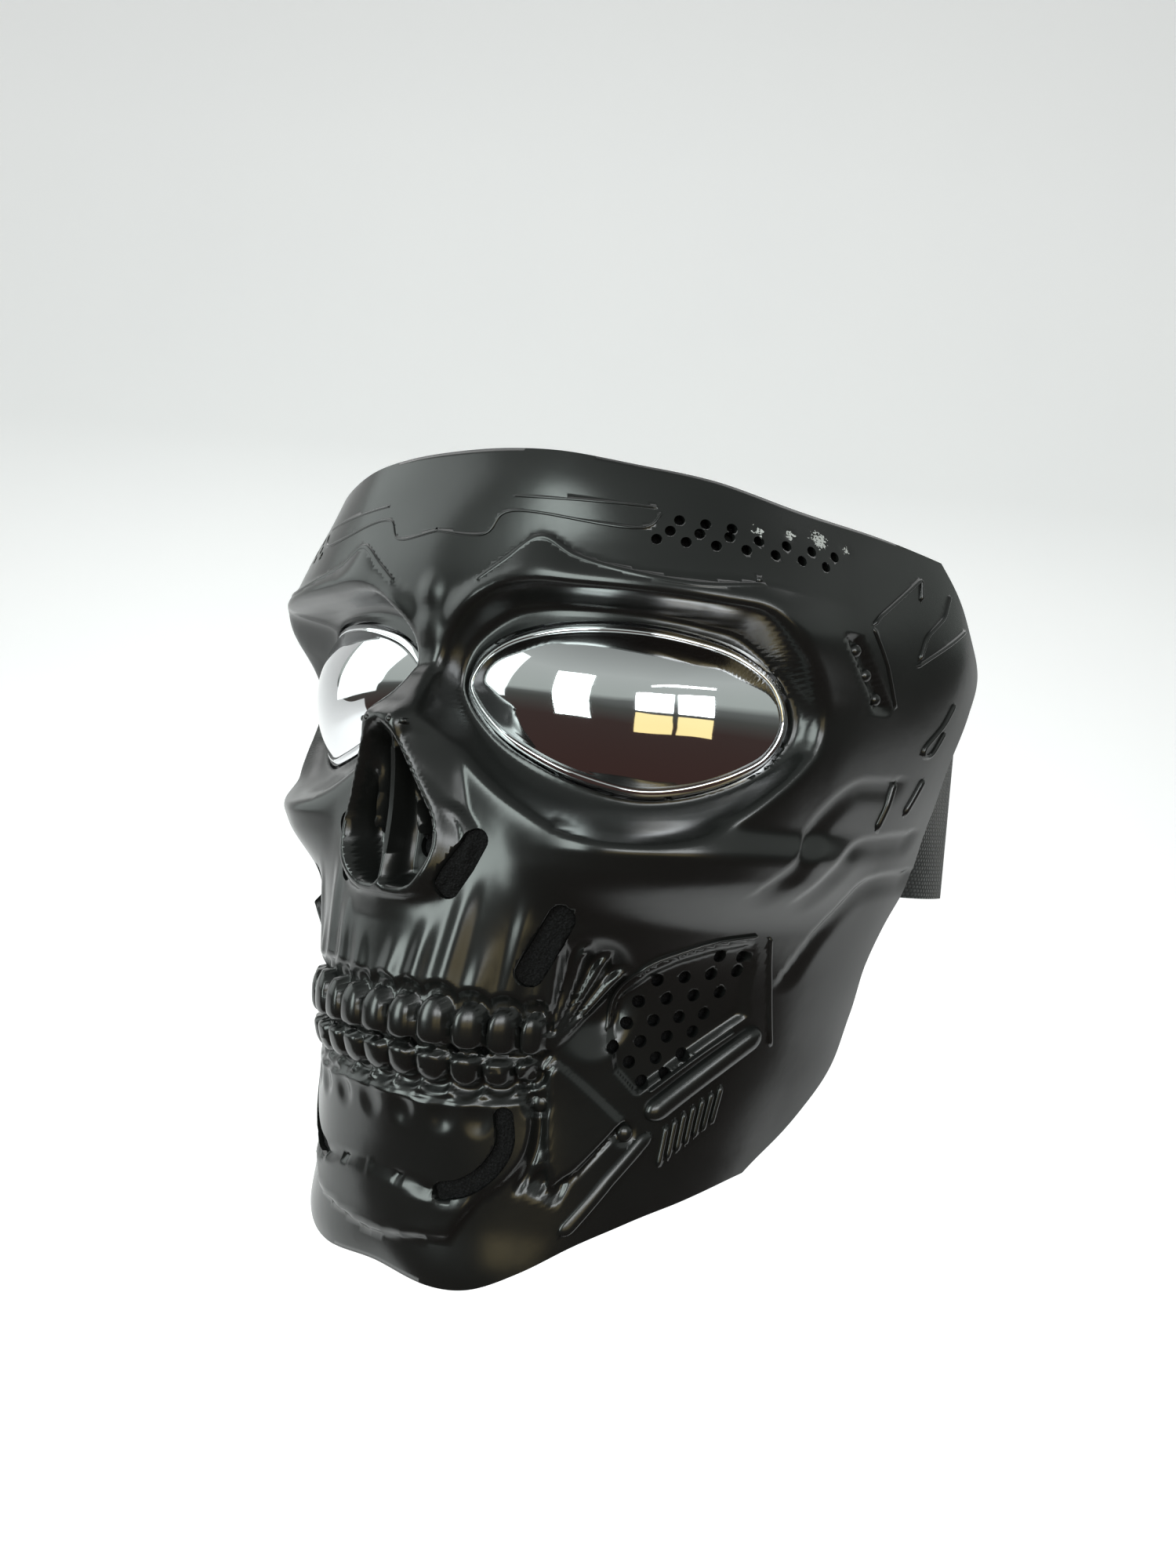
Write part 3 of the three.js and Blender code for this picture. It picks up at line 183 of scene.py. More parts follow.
CHIN_PLATE = [
    (-0.050, -0.840), (0.100, -0.840), (0.220, -0.857), (0.300, -0.860), (0.380, -0.823),
    (0.430, -0.770), (0.430, -0.693), (0.400, -0.680), (0.360, -0.685), (0.200, -0.692),
    (-0.050, -0.700),
]
CHIN_BLOCK = [
    (-0.050, -0.957), (0.050, -0.950), (0.170, -0.937), (0.250, -0.930), (0.330, -0.847),
    (0.230, -0.850), (0.110, -0.833), (-0.050, -0.830),
]
JAW_PLATE = [
    (0.480, -0.835), (0.560, -0.810), (0.700, -0.723), (0.480, -0.615), (0.455, -0.640), (0.460, -0.740),
]
GRILLE = [
    (0.730, -0.683), (1.100, -0.543), (1.060, -0.433), (1.030, -0.405), (0.910, -0.420), (0.810, -0.440),
    (0.720, -0.467), (0.645, -0.513), (0.620, -0.573), (0.650, -0.640),
]
TEMPLE_STRIP = [(1.220, 0.000), (1.290, 0.000), (1.120, 0.300), (1.070, 0.285)]
SINEW_APEX = (44.0, -93.0)
SINEW_SPREAD = 12.0
SINEW_RISE = 2.1
NOSE_SLOT = [(0.240, -0.267), (0.180, -0.347)]
CHEEK_SLOT = [(0.470, -0.380), (0.400, -0.473)]
CHIN_SLOT = [(0.360, -0.713), (0.368, -0.760), (0.330, -0.807), (0.270, -0.837), (0.220, -0.847)]
NOSTRIL = (0.075, -0.287)
HOOK_HOLE = (0.460, -0.820)
HOOK_TAIL = np.array([[1.0, -2.0], [5.0, -4.0], [6.5, -1.0]])
ROD = [(1.170, -0.570), (0.770, -0.720)]
RIVETS = [(0.440, -0.693), (0.700, -0.745)]
TEMPLE_RIVETS = [(1.120, 0.235), (1.170, 0.145), (1.222, 0.055)]
PIP_DIAMETER, PIP_RISE = 1.6, 0.5
PIPS = [(0.035, -0.082), (0.062, -0.084), (0.845, 0.447)]
VENT_ROWS = [
    ((0.670, 0.667), (0.790, 0.650), 3), ((0.650, 0.620), (1.050, 0.598), 7),
    ((0.620, 0.583), (1.020, 0.548), 7),
]
FILLED_VENTS = [(0.850, 0.650), (0.930, 0.652), (1.010, 0.660), (1.090, 0.640)]
GRILLE_ROWS = [
    ((0.950, -0.433), (1.030, -0.433), 2), ((0.760, -0.480), (1.030, -0.460), 4),
    ((0.710, -0.520), (0.990, -0.500), 4), ((0.680, -0.560), (0.950, -0.540), 4),
    ((0.640, -0.600), (0.920, -0.573), 4), ((0.700, -0.627), (0.890, -0.613), 3),
    ((0.750, -0.660), (0.830, -0.647), 2),
]
# Stretches of the shell that have foam behind their small holes: outs and levels
BROW_BACKING = ((0.600, 1.130), (0.500, 0.705))
GRILLE_BACKING = ((0.600, 1.090), (-0.690, -0.410))
MOUTH_BACKING = ((-0.340, 0.340), (-0.635, -0.575))
BITE_HOLES = [(0.045, -0.601), (0.135, -0.603), (0.235, -0.605), (0.300, -0.606)]
TEETH_OUTS = [0, 0.075, 0.148, 0.230, 0.308, 0.385, 0.450]
FIN_TOP, FIN_FOOT, FIN_LAST, FIN_COUNT = (1.050, -0.667), (1.030, -0.740), (0.850, -0.733), 7

# Thin raised lines and grooves of the moulding: name, width, rise, and the places on its line
LINES = [
    ("forehead_line", 0.8, 0.3, [
        (-0.012, 0.617), (0.170, 0.600), (0.210, 0.683), (0.600, 0.633), (0.630, 0.700),
    ]),
    ("forehead_upper_line", 0.7, 0.25, [(0.230, 0.755), (0.620, 0.715)]),
    ("brow_line", 1.6, 0.3, [
        (0.150, 0.400), (0.230, 0.483), (0.330, 0.583), (0.430, 0.505), (0.570, 0.440), (0.720, 0.405),
        (0.860, 0.430),
    ]),
    ("cheek_crease", 1.5, -0.8, [
        (0.44, -0.227), (0.54, -0.238), (0.64, -0.240), (0.72, -0.232), (0.82, -0.205), (0.91, -0.155),
        (1.03, -0.075),
    ]),
    ("temple_edge", 1.3, 0.8, [(1.17, 0.35), (1.19, 0.39), (1.36, 0.60), (1.36, 0.50)]),
    ("temple_chevron", 1.3, 0.8, [(1.49, 0.57), (1.46, 0.46), (1.39, 0.36), (1.37, 0.25)]),
    ("temple_slope", 1.3, 0.7, [(1.36, 0.22), (1.57, 0.43)]),
    ("temple_panel_side", 1.1, 0.5, [(1.17, 0.34), (1.24, 0.20), (1.30, 0.03)]),
    ("temple_low_line", 1.5, 0.8, [
        (1.56, 0.10), (1.53, 0.00), (1.46, -0.055), (1.50, -0.060), (1.545, -0.012),
    ]),
    ("bar_front", 2.4, 1.0, [(1.385, -0.110), (1.360, -0.200)]),
    ("bar_rear", 2.4, 1.0, [(1.510, -0.100), (1.470, -0.170)]),
    ("jaw_ridge", 4.0, 1.0, [(0.79, -0.745), (0.66, -0.820), (0.53, -0.910)]),
    ("jaw_plate_line", 1.4, -0.7, [(0.51, -0.830), (0.585, -0.790), (0.680, -0.735)]),
    ("jaw_groove", 2.2, -1.4, [
        (0.455, -0.610), (0.405, -0.665), (0.440, -0.700), (0.445, -0.765), (0.410, -0.830),
    ]),
    ("grille_frame", 1.1, 0.9, [
        (0.615, -0.575), (0.630, -0.512), (0.712, -0.455), (0.808, -0.427), (0.910, -0.405),
        (1.040, -0.392),
    ]),
    ("grille_outer_line", 1.5, 0.8, [(1.085, -0.393), (1.150, -0.480), (1.230, -0.600)]),
    ("grille_ledge", 1.1, 1.5, [(1.060, -0.568), (0.770, -0.676)]),
]
# Steps of the cheek and temple: the surface behind each line lies lower
STEPS = [
    ("cheek_step_upper", 0.9, [
        (0.98, -0.290), (1.03, -0.260), (1.10, -0.175), (1.20, -0.120), (1.36, -0.108),
    ]),
    ("cheek_step_middle", 0.8, [
        (1.13, -0.300), (1.21, -0.253), (1.29, -0.220), (1.42, -0.207), (1.53, -0.200),
    ]),
    ("cheek_step_lower", 0.8, [
        (1.20, -0.450), (1.26, -0.373), (1.36, -0.300), (1.46, -0.280), (1.60, -0.273),
    ]),
]


def mix(a, b, share):
    return a + (b - a) * share


def rise(value, start, end):
    """0 at start, 1 at end and smooth between them; start may be the higher of the two."""
    share = np.clip((value - start) / (end - start), 0, 1)
    return share * share * (3 - 2 * share)


def height_of(level):
    level = np.asarray(level, float)
    return level * np.where(level < 0, EYE_TO_CHIN, EYE_TO_RIM)


def spots(points):
    points = np.asarray(points, float).reshape(-1, 2)
    return np.stack([points[:, 0] * FACE_RADIUS, height_of(points[:, 1])], -1)


def hermite(t, step, start, end, start_slope, end_slope):
    return ((1 + 2 * t) * (1 - t) ** 2 * start + t * (1 - t) ** 2 * step * start_slope
            + t * t * (3 - 2 * t) * end + t * t * (t - 1) * step * end_slope)


def cubic(xs, ys, level_start=False):
    """Cubic through the points, with its slope at each taken from the points beside it."""
    xs, ys = np.asarray(xs, float), np.asarray(ys, float)
    step = np.diff(xs)
    chord = np.diff(ys) / step
    slope = np.empty_like(ys)
    slope[1:-1] = (chord[:-1] * step[1:] + chord[1:] * step[:-1]) / (step[1:] + step[:-1])
    slope[0], slope[-1] = (0 if level_start else chord[0]), chord[-1]

    def value(x):
        x = np.clip(x, xs[0], xs[-1])
        i = np.clip(np.searchsorted(xs, x, side="right") - 1, 0, len(step) - 1)
        t = (x - xs[i]) / step[i]
        return hermite(t, step[i], ys[i], ys[i + 1], slope[i], slope[i + 1])

    return value


def table_curve(table, x_of=float, y_of=float, level_start=False):
    return cubic([x_of(a) for a, _ in table], [y_of(b) for _, b in table], level_start)


LEVEL_HEIGHTS = height_of(list(RADII))
COLUMN_RADIUS = [cubic(LEVEL_HEIGHTS, np.array(column) * FACE_RADIUS) for column in zip(*RADII.values())]
lower_edge = table_curve(LOWER_EDGE, y_of=height_of, level_start=True)
upper_rim = table_curve(UPPER_RIM, y_of=height_of, level_start=True)
rear_edge = table_curve(REAR_EDGE, x_of=height_of)


def base_radius(girth, z):
    turn = np.abs(np.degrees(girth / GIRTH_RADIUS))
    shape = np.broadcast(turn, z).shape
    turn = np.broadcast_to(turn, shape).ravel()
    rows = np.stack([column(np.broadcast_to(z, shape).ravel()) for column in COLUMN_RADIUS], -1)
    xs = np.array(TURNS, float)
    step = np.diff(xs)
    chord = np.diff(rows, axis=1) / step
    slope = np.zeros_like(rows)
    slope[:, 1:-1] = (chord[:, :-1] * step[1:] + chord[:, 1:] * step[:-1]) / (step[1:] + step[:-1])
    slope[:, -1] = chord[:, -1]
    turn = np.clip(turn, 0, xs[-1])
    i = np.clip(np.searchsorted(xs, turn, side="right") - 1, 0, len(step) - 1)
    t = (turn - xs[i]) / step[i]
    n = np.arange(len(turn))
    return hermite(t, step[i], rows[n, i], rows[n, i + 1], slope[n, i], slope[n, i + 1]).reshape(shape)


def place(girth, z, radius):
    turn = np.asarray(girth) / GIRTH_RADIUS
    x, y = radius * np.sin(turn), -radius * np.cos(turn)
    return np.stack(np.broadcast_arrays(x, y, z), -1) * MM


def near(points, girth, z, margin):
    low, high = points.min(0) - margin, points.max(0) + margin
    return (girth > low[0]) & (girth < high[0]) & (z > low[1]) & (z < high[1])


def along_segment(x, y, start, end):
    """The segment's two lengths, and the share of it at which each place is nearest."""
    dx, dy = end[0] - start[0], end[1] - start[1]
    return dx, dy, np.clip(((x - start[0]) * dx + (y - start[1]) * dy) / (dx * dx + dy * dy), 0, 1)


def inside_distance(loop, girth, z, margin=6.0):
    """Distance from a closed loop, positive inside it, and minus the margin far away from it."""
    out = np.full(girth.shape, -margin)
    mask = near(loop, girth, z, margin)
    x, y = girth[mask], z[mask]
    best = np.full(x.shape, np.inf)
    inside = np.zeros(x.shape, bool)
    for (ax, ay), (bx, by) in zip(loop, np.roll(loop, -1, axis=0)):
        dx, dy, t = along_segment(x, y, (ax, ay), (bx, by))
        best = np.minimum(best, np.hypot(x - ax - t * dx, y - ay - t * dy))
        if dy:
            inside ^= ((ay > y) != (by > y)) & (x < ax + (y - ay) / dy * dx)
    out[mask] = np.maximum(np.where(inside, best, -best), -margin)
    return out


def line_distance(path, girth, z, margin=8.0):
    """Distance from an open line, and the same with its sign by the side of the line."""
    out = np.full(girth.shape, margin)
    signed = np.full(girth.shape, margin)
    mask = near(path, girth, z, margin)
    x, y = girth[mask], z[mask]
    best = np.full(x.shape, margin)
    side = np.full(x.shape, margin)
    for (ax, ay), (bx, by) in zip(path[:-1], path[1:]):
        dx, dy, t = along_segment(x, y, (ax, ay), (bx, by))
        d = np.hypot(x - ax - t * dx, y - ay - t * dy)
        closer = d < best
        best = np.where(closer, d, best)
        side = np.where(closer, d * np.sign(dx * (y - ay) - dy * (x - ax)), side)
    out[mask], signed[mask] = best, side
    return out, signed


def running(points, power=1.0):
    """Length along the points up to each, or the sum of its steps to a power."""
    return np.concatenate([[0], np.cumsum(np.linalg.norm(np.diff(points, axis=0), axis=1) ** power)])


def smooth_loop(points, count):
    """Even points on a closed smooth line through the given ones."""
    p = spots(points)
    knots = running(np.vstack([p, p[:1]]), 0.5)
    wrap = 3
    span = knots[-1]
    xs = np.concatenate([knots[-1 - wrap:-1] - span, knots, knots[1:1 + wrap] + span])
    ps = np.vstack([p[-wrap:], p, p[:1], p[1:1 + wrap]])
    dense = np.linspace(0, span, 2000)
    line = np.stack([cubic(xs, ps[:, k])(dense) for k in range(2)], -1)
    run = running(line)
    even = np.arange(count) / count * run[-1]
    return np.stack([np.interp(even, run, line[:, k]) for k in range(2)], -1)


def smooth_line(points, count=40):
    p = spots(points)
    knots = running(p, 0.5)
    dense = np.linspace(0, knots[-1], count)
    return np.stack([cubic(knots, p[:, k])(dense) for k in range(2)], -1)


def offset_loop(loop, distance):
    across = np.roll(loop, -1, axis=0) - np.roll(loop, 1, axis=0)
    across /= np.linalg.norm(across, axis=1, keepdims=True)
    return loop + np.stack([across[:, 1], -across[:, 0]], -1) * distance


EYE_LOOP = smooth_loop(EYE, 144)
SOCKET_LOOP = smooth_loop(SOCKET, 90)
NOSE_LOOP = smooth_loop(NOSE, 60)
NOSE_PLATE_LOOP = spots(NOSE_PLATE)
CHIN_PLATE_LOOP = smooth_loop(CHIN_PLATE, 60)
CHIN_BLOCK_LOOP = spots(CHIN_BLOCK)
JAW_PLATE_LOOP = spots(JAW_PLATE)
GRILLE_LOOP = spots(GRILLE)
TEMPLE_LOOP = spots(TEMPLE_STRIP)

floor_share = cubic(np.array([0.0, 0.2, 0.4, 0.63, 0.86, 1.05, 1.3]) * FACE_RADIUS,
                    [0.890, 0.923, 0.962, 1.000, 1.027, 1.038, 1.033])
EYE_MIDDLE = float(height_of(-0.033))


def socket_floor(side, z):
    return floor_share(side) * SOCKET_FLOOR_RADIUS - (z - EYE_MIDDLE) ** 2 / (2 * SOCKET_BULGE_RADIUS)


# Nasal bone and the raised border of the nose opening: level, rise, inner and outer half width
NASAL = np.array([
    (0.180, 0.00, 0.02, 0.08), (0.040, 0.10, 0.02, 0.09), (-0.033, 0.52, 0.03, 0.12),
    (-0.077, 1.00, 0.04, 0.14), (-0.110, 0.86, 0.05, 0.15), (-0.160, 0.64, 0.085, 0.18),
    (-0.220, 0.47, 0.115, 0.21), (-0.280, 0.36, 0.14, 0.24), (-0.333, 0.28, 0.13, 0.22),
    (-0.373, 0.08, 0.08, 0.18), (-0.413, 0.00, 0.05, 0.15),
])
NASAL_DROP = -height_of(NASAL[:, 0])
nasal_rise = cubic(NASAL_DROP, NASAL[:, 1] * NOSE_RISE)
nasal_inner = cubic(NASAL_DROP, NASAL[:, 2] * FACE_RADIUS)
nasal_outer = cubic(NASAL_DROP, NASAL[:, 3] * FACE_RADIUS)


def nose_relief(side, z):
    top = nasal_rise(-z)
    share = np.clip((nasal_outer(-z) - side) / (nasal_outer(-z) - nasal_inner(-z)), 0, 1)
    mound = top * share * share * (3 - 2 * share)
    depth = inside_distance(NOSE_LOOP, side, z)
    septum = rise(side, SEPTUM_WIDTH * 0.6, SEPTUM_WIDTH * 0.3) * (NOSE_DEPTH - top * 0.35)
    concha_side = np.abs(side - CONCHA_OUT + 0.12 * (z + 30))
    concha = CONCHA_RISE * rise(concha_side, CONCHA_HALF_WIDTH, 0.0) * rise(z, -46, -38) * rise(z, -16, -27)
    cavity = rise(depth, -0.3, 3.0) * (np.maximum(septum, concha) - NOSE_DEPTH)
    plate = 0.9 * rise(inside_distance(NOSE_PLATE_LOOP, side, z), 0.0, 1.0)
    lip = 0.5 * np.exp(-((depth + 1.0) / 1.3) ** 2)
    from_ala = np.abs(np.hypot((side - 13.5) / 8.5, (z + 43.0) / 11.0) - 1.0)
    ala = 0.9 * rise(from_ala, 0.18, 0.0) * rise(side, 15, 19)
    return mound + cavity + plate * rise(depth, 0.8, -0.2) + lip + ala


brow_top = cubic(np.array([0.00, 0.10, 0.23, 0.33, 0.43, 0.57, 0.84, 1.10]) * FACE_RADIUS,
                 height_of([0.35, 0.38, 0.49, 0.60, 0.52, 0.46, 0.44, 0.40]), True)
BROW_BUMPS = [(0.205, 0.10, 0.085), (0.355, 0.085, 0.08)]


def brow_relief(side, z):
    top = brow_top(side)
    foot = float(height_of(0.05))
    ends = (rise(side, 0.04 * FACE_RADIUS, 0.16 * FACE_RADIUS)
            * rise(side, 1.15 * FACE_RADIUS, 0.85 * FACE_RADIUS))
    share = np.clip((top - z) / (top - mix(foot, top, 0.45)), 0, 1)
    height = BROW_RISE * ends * (1 - (1 - share) ** 2) * rise(z, -foot, foot)
    for level, width, tall in BROW_BUMPS:
        away = np.hypot(side / (width * FACE_RADIUS / 2), (z - height_of(level)) / (tall * FACE_RADIUS / 2))
        height = height + 0.4 * BROW_BUMP_RISE * rise(away, 1.5, 0.0)
    return height


def cheek_relief(side, z):
    bone = (CHEEKBONE_RISE * rise(side, 0.30 * FACE_RADIUS, 0.56 * FACE_RADIUS)
            * rise(side, 1.45 * FACE_RADIUS, 1.05 * FACE_RADIUS) * rise(z, height_of(-0.39), height_of(-0.29))
            * rise(z, height_of(-0.20), height_of(-0.265)))
    hollow = np.hypot((side - 0.57 * FACE_RADIUS) / 0.15, (z - height_of(-0.51)) / 0.17) / FACE_RADIUS
    height = bone - CHEEK_HOLLOW_DEPTH * rise(hollow, 1.05, 0.35)
    reach = np.hypot(side - SINEW_APEX[0], z - SINEW_APEX[1])
    fan = np.degrees(np.arctan2(side - SINEW_APEX[0], z - SINEW_APEX[1]))
    lobe = 0.5 + 0.5 * np.cos(2 * np.pi * (fan - 6.0) / SINEW_SPREAD)
    end = rise(reach, 27.5 + 5.5 * lobe, 23.0 + 5.5 * lobe) * rise(reach, 1.0, 9.0)
    inside = rise(fan, -4.0, 3.0) * rise(fan, 48.0, 43.0)
    return height + end * inside * (0.9 + SINEW_RISE * lobe * rise(reach, 3.0, SINEW_FULL_REACH))


UPPER_TOPS = [-78.2, -78.4, -78.0, -79.2, -80.0, -81.0]
UPPER_BOTTOMS = [-90.0, -90.2, -90.6, -91.2, -92.0, -91.8]
LOWER_BOTTOMS = [-99.8, -100.0, -100.2, -100.6, -100.2, -98.8]
ROOT_TOPS = [-66, -61, -51, -67, -54, -69]
TEETH_GAP = 0.9
TEETH_BOX = np.array([[0.0, -102.0], [46.0, -74.0]])
TEETH_ROOT_BOX = np.array([[0.5, -106.0], [49.0, -72.0]])
CHIN_DIMPLES = [(0.0, 0.5), (10.5, 0.9), (21.0, 0.9), (30.0, 0.8)]


def tooth_shapes():
    """Centre, middle height, half width, half height and row of each tooth."""
    shapes = []
    for i, (a, b) in enumerate(zip(TEETH_OUTS[:-1], TEETH_OUTS[1:])):
        centre, half = (a + b) / 2 * FACE_RADIUS, (b - a) / 2 * FACE_RADIUS
        top, bottom = UPPER_TOPS[i], UPPER_BOTTOMS[i]
        shapes.append((centre, (top + bottom) / 2, half - 0.05, (top - bottom) / 2, 1))
        top, bottom = UPPER_BOTTOMS[i] - TEETH_GAP, LOWER_BOTTOMS[i]
        shapes.append((centre * 0.98, (top + bottom) / 2, half * 0.98 - 0.1, (top - bottom) / 2, -1))
    return shapes


TEETH = tooth_shapes()


def tooth_fields(x, y):
    """Height of the teeth, and the distances from all of them, their root ends and the lower root ends."""
    dome = np.zeros(x.shape)
    outline, roots, low_roots = (np.full(x.shape, 9.0) for _ in range(3))
    for centre, middle, half, tall, row in TEETH:
        across, along = np.abs(x - centre) / half, np.abs(y - middle) / tall
        root_end = row * (y - middle) > 0
        q = across ** 2.3 + along ** np.where(root_end, 2.1, 4.5)
        dome = np.maximum(dome, TOOTH_RISE * np.clip(1 - q, 0, 1) ** 0.55)
        away = (q ** 0.45 - 1) * half * 1.35
        outline = np.minimum(outline, away)
        roots = np.where(root_end, np.minimum(roots, away), roots)
        if row < 0:
            low_roots = np.where(root_end, np.minimum(low_roots, away), low_roots)
    return dome, outline, roots, low_roots


def tooth_relief(side, z):
    height = np.zeros(side.shape)
    mask = near(TEETH_BOX, side, z, 5.0)
    x, y = side[mask], z[mask]
    dome, _, roots, low_roots = tooth_fields(x, y)
    trench = rise(roots, 3.3, 1.1) * rise(x, 50.0, 46.5)
    bite = 0.9 * rise(np.abs(y + 90.6 + 0.035 * x), 1.4, 0.0) * rise(x, 46, 42)
    ledge = 0.45 * rise(np.abs(low_roots - 3.8), 1.7, 0.0) * rise(x, 42, 36)
    height[mask] = dome - (GUM_TRENCH * trench + bite) * rise(dome, 0.5, 0.0) + ledge
    return height


def root_relief(side, z):
    height = np.zeros(side.shape)
    slanted = side - 0.16 * (z + 82.0)
    outs = np.array(TEETH_OUTS) * FACE_RADIUS
    for i, top in enumerate(ROOT_TOPS):
        t = (slanted - outs[i]) / (outs[i + 1] - outs[i])
        inside = (t >= 0) & (t < 1)
        ridge = 0.5 - 0.5 * np.cos(2 * np.pi * np.clip(t, 0, 1))
        height = np.where(inside, ridge * rise(z, top + 5, top - 9), height)
    return ROOT_RIDGE_RISE * height * rise(z, -80, -77) * rise(side, 50, 45)


def jaw_relief(side, z):
    height = CHIN_PLATE_RISE * rise(inside_distance(CHIN_PLATE_LOOP, side, z), 0.0, 1.6)
    height += CHIN_BLOCK_RISE * rise(inside_distance(CHIN_BLOCK_LOOP, side, z), 0.0, 2.4) * 0.8
    height += JAW_PLATE_RISE * rise(inside_distance(JAW_PLATE_LOOP, side, z), 0.0, 1.5)
    height -= GRILLE_RECESS * rise(inside_distance(GRILLE_LOOP, side, z), 0.0, 1.3)
    height -= TEMPLE_STRIP_RECESS * rise(inside_distance(TEMPLE_LOOP, side, z), 0.0, 0.9)
    for centre, depth in CHIN_DIMPLES:
        height -= depth * rise(np.hypot((side - centre) / 4.5, (z + 108) / 5.5), 1.0, 0.1)
    return height


def small_relief(side, z):
    height = np.zeros(side.shape)
    for _, width, lift, points in LINES:
        if lift < 0:
            distance, _ = line_distance(smooth_line(points) if len(points) > 4 else spots(points), side, z)
            height += lift * rise(distance, width / 2 + GROOVE_EASE, 0.0)
    for _, drop, points in STEPS:
        distance, signed = line_distance(smooth_line(points), side, z)
        height += drop * (rise(signed, -0.7, 0.7) - 1) * rise(distance, 8.0, 1.5)
    for girth, level in spots(RIVETS):
        away = np.hypot((side - girth) * 0.9, z - level) / (RIVET_DIAMETER / 2)
        height -= 0.6 * rise(away, 1.6, 1.0)
    for girth, level in spots(FILLED_VENTS):
        height -= 0.35 * rise(np.hypot(side - girth, z - level), VENT_DIAMETER / 2, 0.6)
    girth, level = spots([HOOK_HOLE])[0]
    tail, _ = line_distance(np.array([girth, level]) + HOOK_TAIL, side, z)
    away = np.hypot((side - girth) * 0.85, z - level)
    height -= np.maximum(1.3 * rise(tail, 1.7, 0.5), 0.7 * rise(away, 4.2, 2.6))
    height -= (HOOK_HOLE_DEPTH - 0.2) * rise(away, HOOK_HOLE_DIAMETER / 2, HOOK_HOLE_DIAMETER / 2 - 0.9)
    return height


def surface_radius(girth, z, fine=True):
    girth, z = np.broadcast_arrays(np.asarray(girth, float), np.asarray(z, float))
    side = np.abs(girth)
    radius = base_radius(girth, z) + nose_relief(side, z) + brow_relief(side, z) + cheek_relief(side, z)
    radius = radius + root_relief(side, z) + jaw_relief(side, z) + tooth_relief(side, z)
    if fine:
        radius = radius + small_relief(side, z)
    in_rim = inside_distance(SOCKET_LOOP, side, z)
    mask = in_rim > -RIM_BLEND
    softened = (in_rim + np.sqrt(in_rim ** 2 + RIM_ROUND ** 2)) / 2
    in_rim = np.maximum(softened - (math.sqrt(RIM_BLEND ** 2 + RIM_ROUND ** 2) - RIM_BLEND) / 2, 0)
    outside_eye = np.maximum(0, -inside_distance(EYE_LOOP, side[mask], z[mask], 40.0) - EYE_LEDGE)
    floor = socket_floor(side[mask], z[mask])
    steepness = mix(1.3, 3.2, rise(z[mask], height_of(-0.10), height_of(0.12)))
    out = radius.copy()
    share = outside_eye / (outside_eye + in_rim[mask] + 1e-6)
    out[mask] = floor + (radius[mask] - floor) * share ** steepness
    return out


def radius_at(spot, fine=True):
    return float(surface_radius(*(np.array([value]) for value in spot), fine)[0])


def inner_radius(girth, z):
    girth, z = np.broadcast_arrays(np.asarray(girth, float), np.asarray(z, float))
    radius = surface_radius(girth, z, False) - SHELL_WALL
    for reach in (0.6, 0.95):
        away = reach * SHELL_WALL
        for i in range(8):
            turn = i * math.pi / 4
            there = surface_radius(girth + away * math.cos(turn), z + away * math.sin(turn), False)
            radius = np.minimum(radius, there - math.sqrt(SHELL_WALL ** 2 - away ** 2))
    return radius


def new_object(name, points, faces, smooth_angle=None):
    mesh = bpy.data.meshes.new(name)
    mesh.from_pydata([tuple(p) for p in np.asarray(points, float)], [], faces)
    mesh.validate()
    piece = bpy.data.objects.new(name, mesh)
    bpy.context.scene.collection.objects.link(piece)
    if smooth_angle is not None:
        smooth(piece, smooth_angle)
    return piece


def smooth(piece, angle):
    mesh = piece.data
    mesh.polygons.foreach_set("use_smooth", [True] * len(mesh.polygons))
    mesh.set_sharp_from_angle(angle=math.radians(angle))


def ring_mesh(rings):
    """Points and faces of a closed solid from rings of (girth, height, radius), the innermost first."""
    count = len(rings[0])
    points = np.concatenate([place(r[:, 0], r[:, 1], r[:, 2]) for r in rings])
    faces = []
    for k in range(len(rings) - 1):
        low = k * count
        for i in range(count):
            after = (i + 1) % count
            faces.append((low + i, low + after, low + count + after, low + count + i))
    faces.append(tuple(range(count - 1, -1, -1)))
    faces.append(tuple(range((len(rings) - 1) * count, len(rings) * count)))
    return points, faces


def mirrored(points, faces):
    points = np.array(points, float)
    points[:, 0] *= -1
    return points, [tuple(reversed(face)) for face in faces]


def joined(parts):
    points, faces, start = [], [], 0
    for p, f in parts:
        points.append(np.asarray(p, float))
        faces += [tuple(i + start for i in face) for face in f]
        start += len(p)
    return np.concatenate(points), faces


def ring_at(loop, radius):
    radius = radius(loop[:, 0], loop[:, 1]) if callable(radius) else np.full(len(loop), float(radius))
    return np.column_stack([loop, radius])


def polygon_loop(centre, width, height=None, sides=16):
    girth, z = centre
    stretch = GIRTH_RADIUS / radius_at(centre, False)
    turn = 2 * np.pi * (np.arange(sides) + 0.5) / sides
    half_width, half_height = width / 2, (height or width) / 2
    return np.column_stack([girth + half_width * np.cos(turn) * stretch, z + half_height * np.sin(turn)])


def directions(line):
    """Unit vectors along a line and across it at each point."""
    tangent = np.gradient(line, axis=0)
    tangent /= np.linalg.norm(tangent, axis=1, keepdims=True)
    return tangent, np.stack([tangent[:, 1], -tangent[:, 0]], -1)


def slot_frame(points):
    """Even stations along a slot's line in true millimetres, their normals and the stretch to girth."""
    path = spots(points)
    stretch = GIRTH_RADIUS / radius_at(path[0], False)
    flat = path / [stretch, 1]
    if len(flat) > 2:
        knots = running(flat)
        dense = np.linspace(0, knots[-1], 24)
        flat = np.stack([cubic(knots, flat[:, k])(dense) for k in range(2)], -1)
    tangent, normal = directions(flat)
    return flat, tangent, normal, stretch


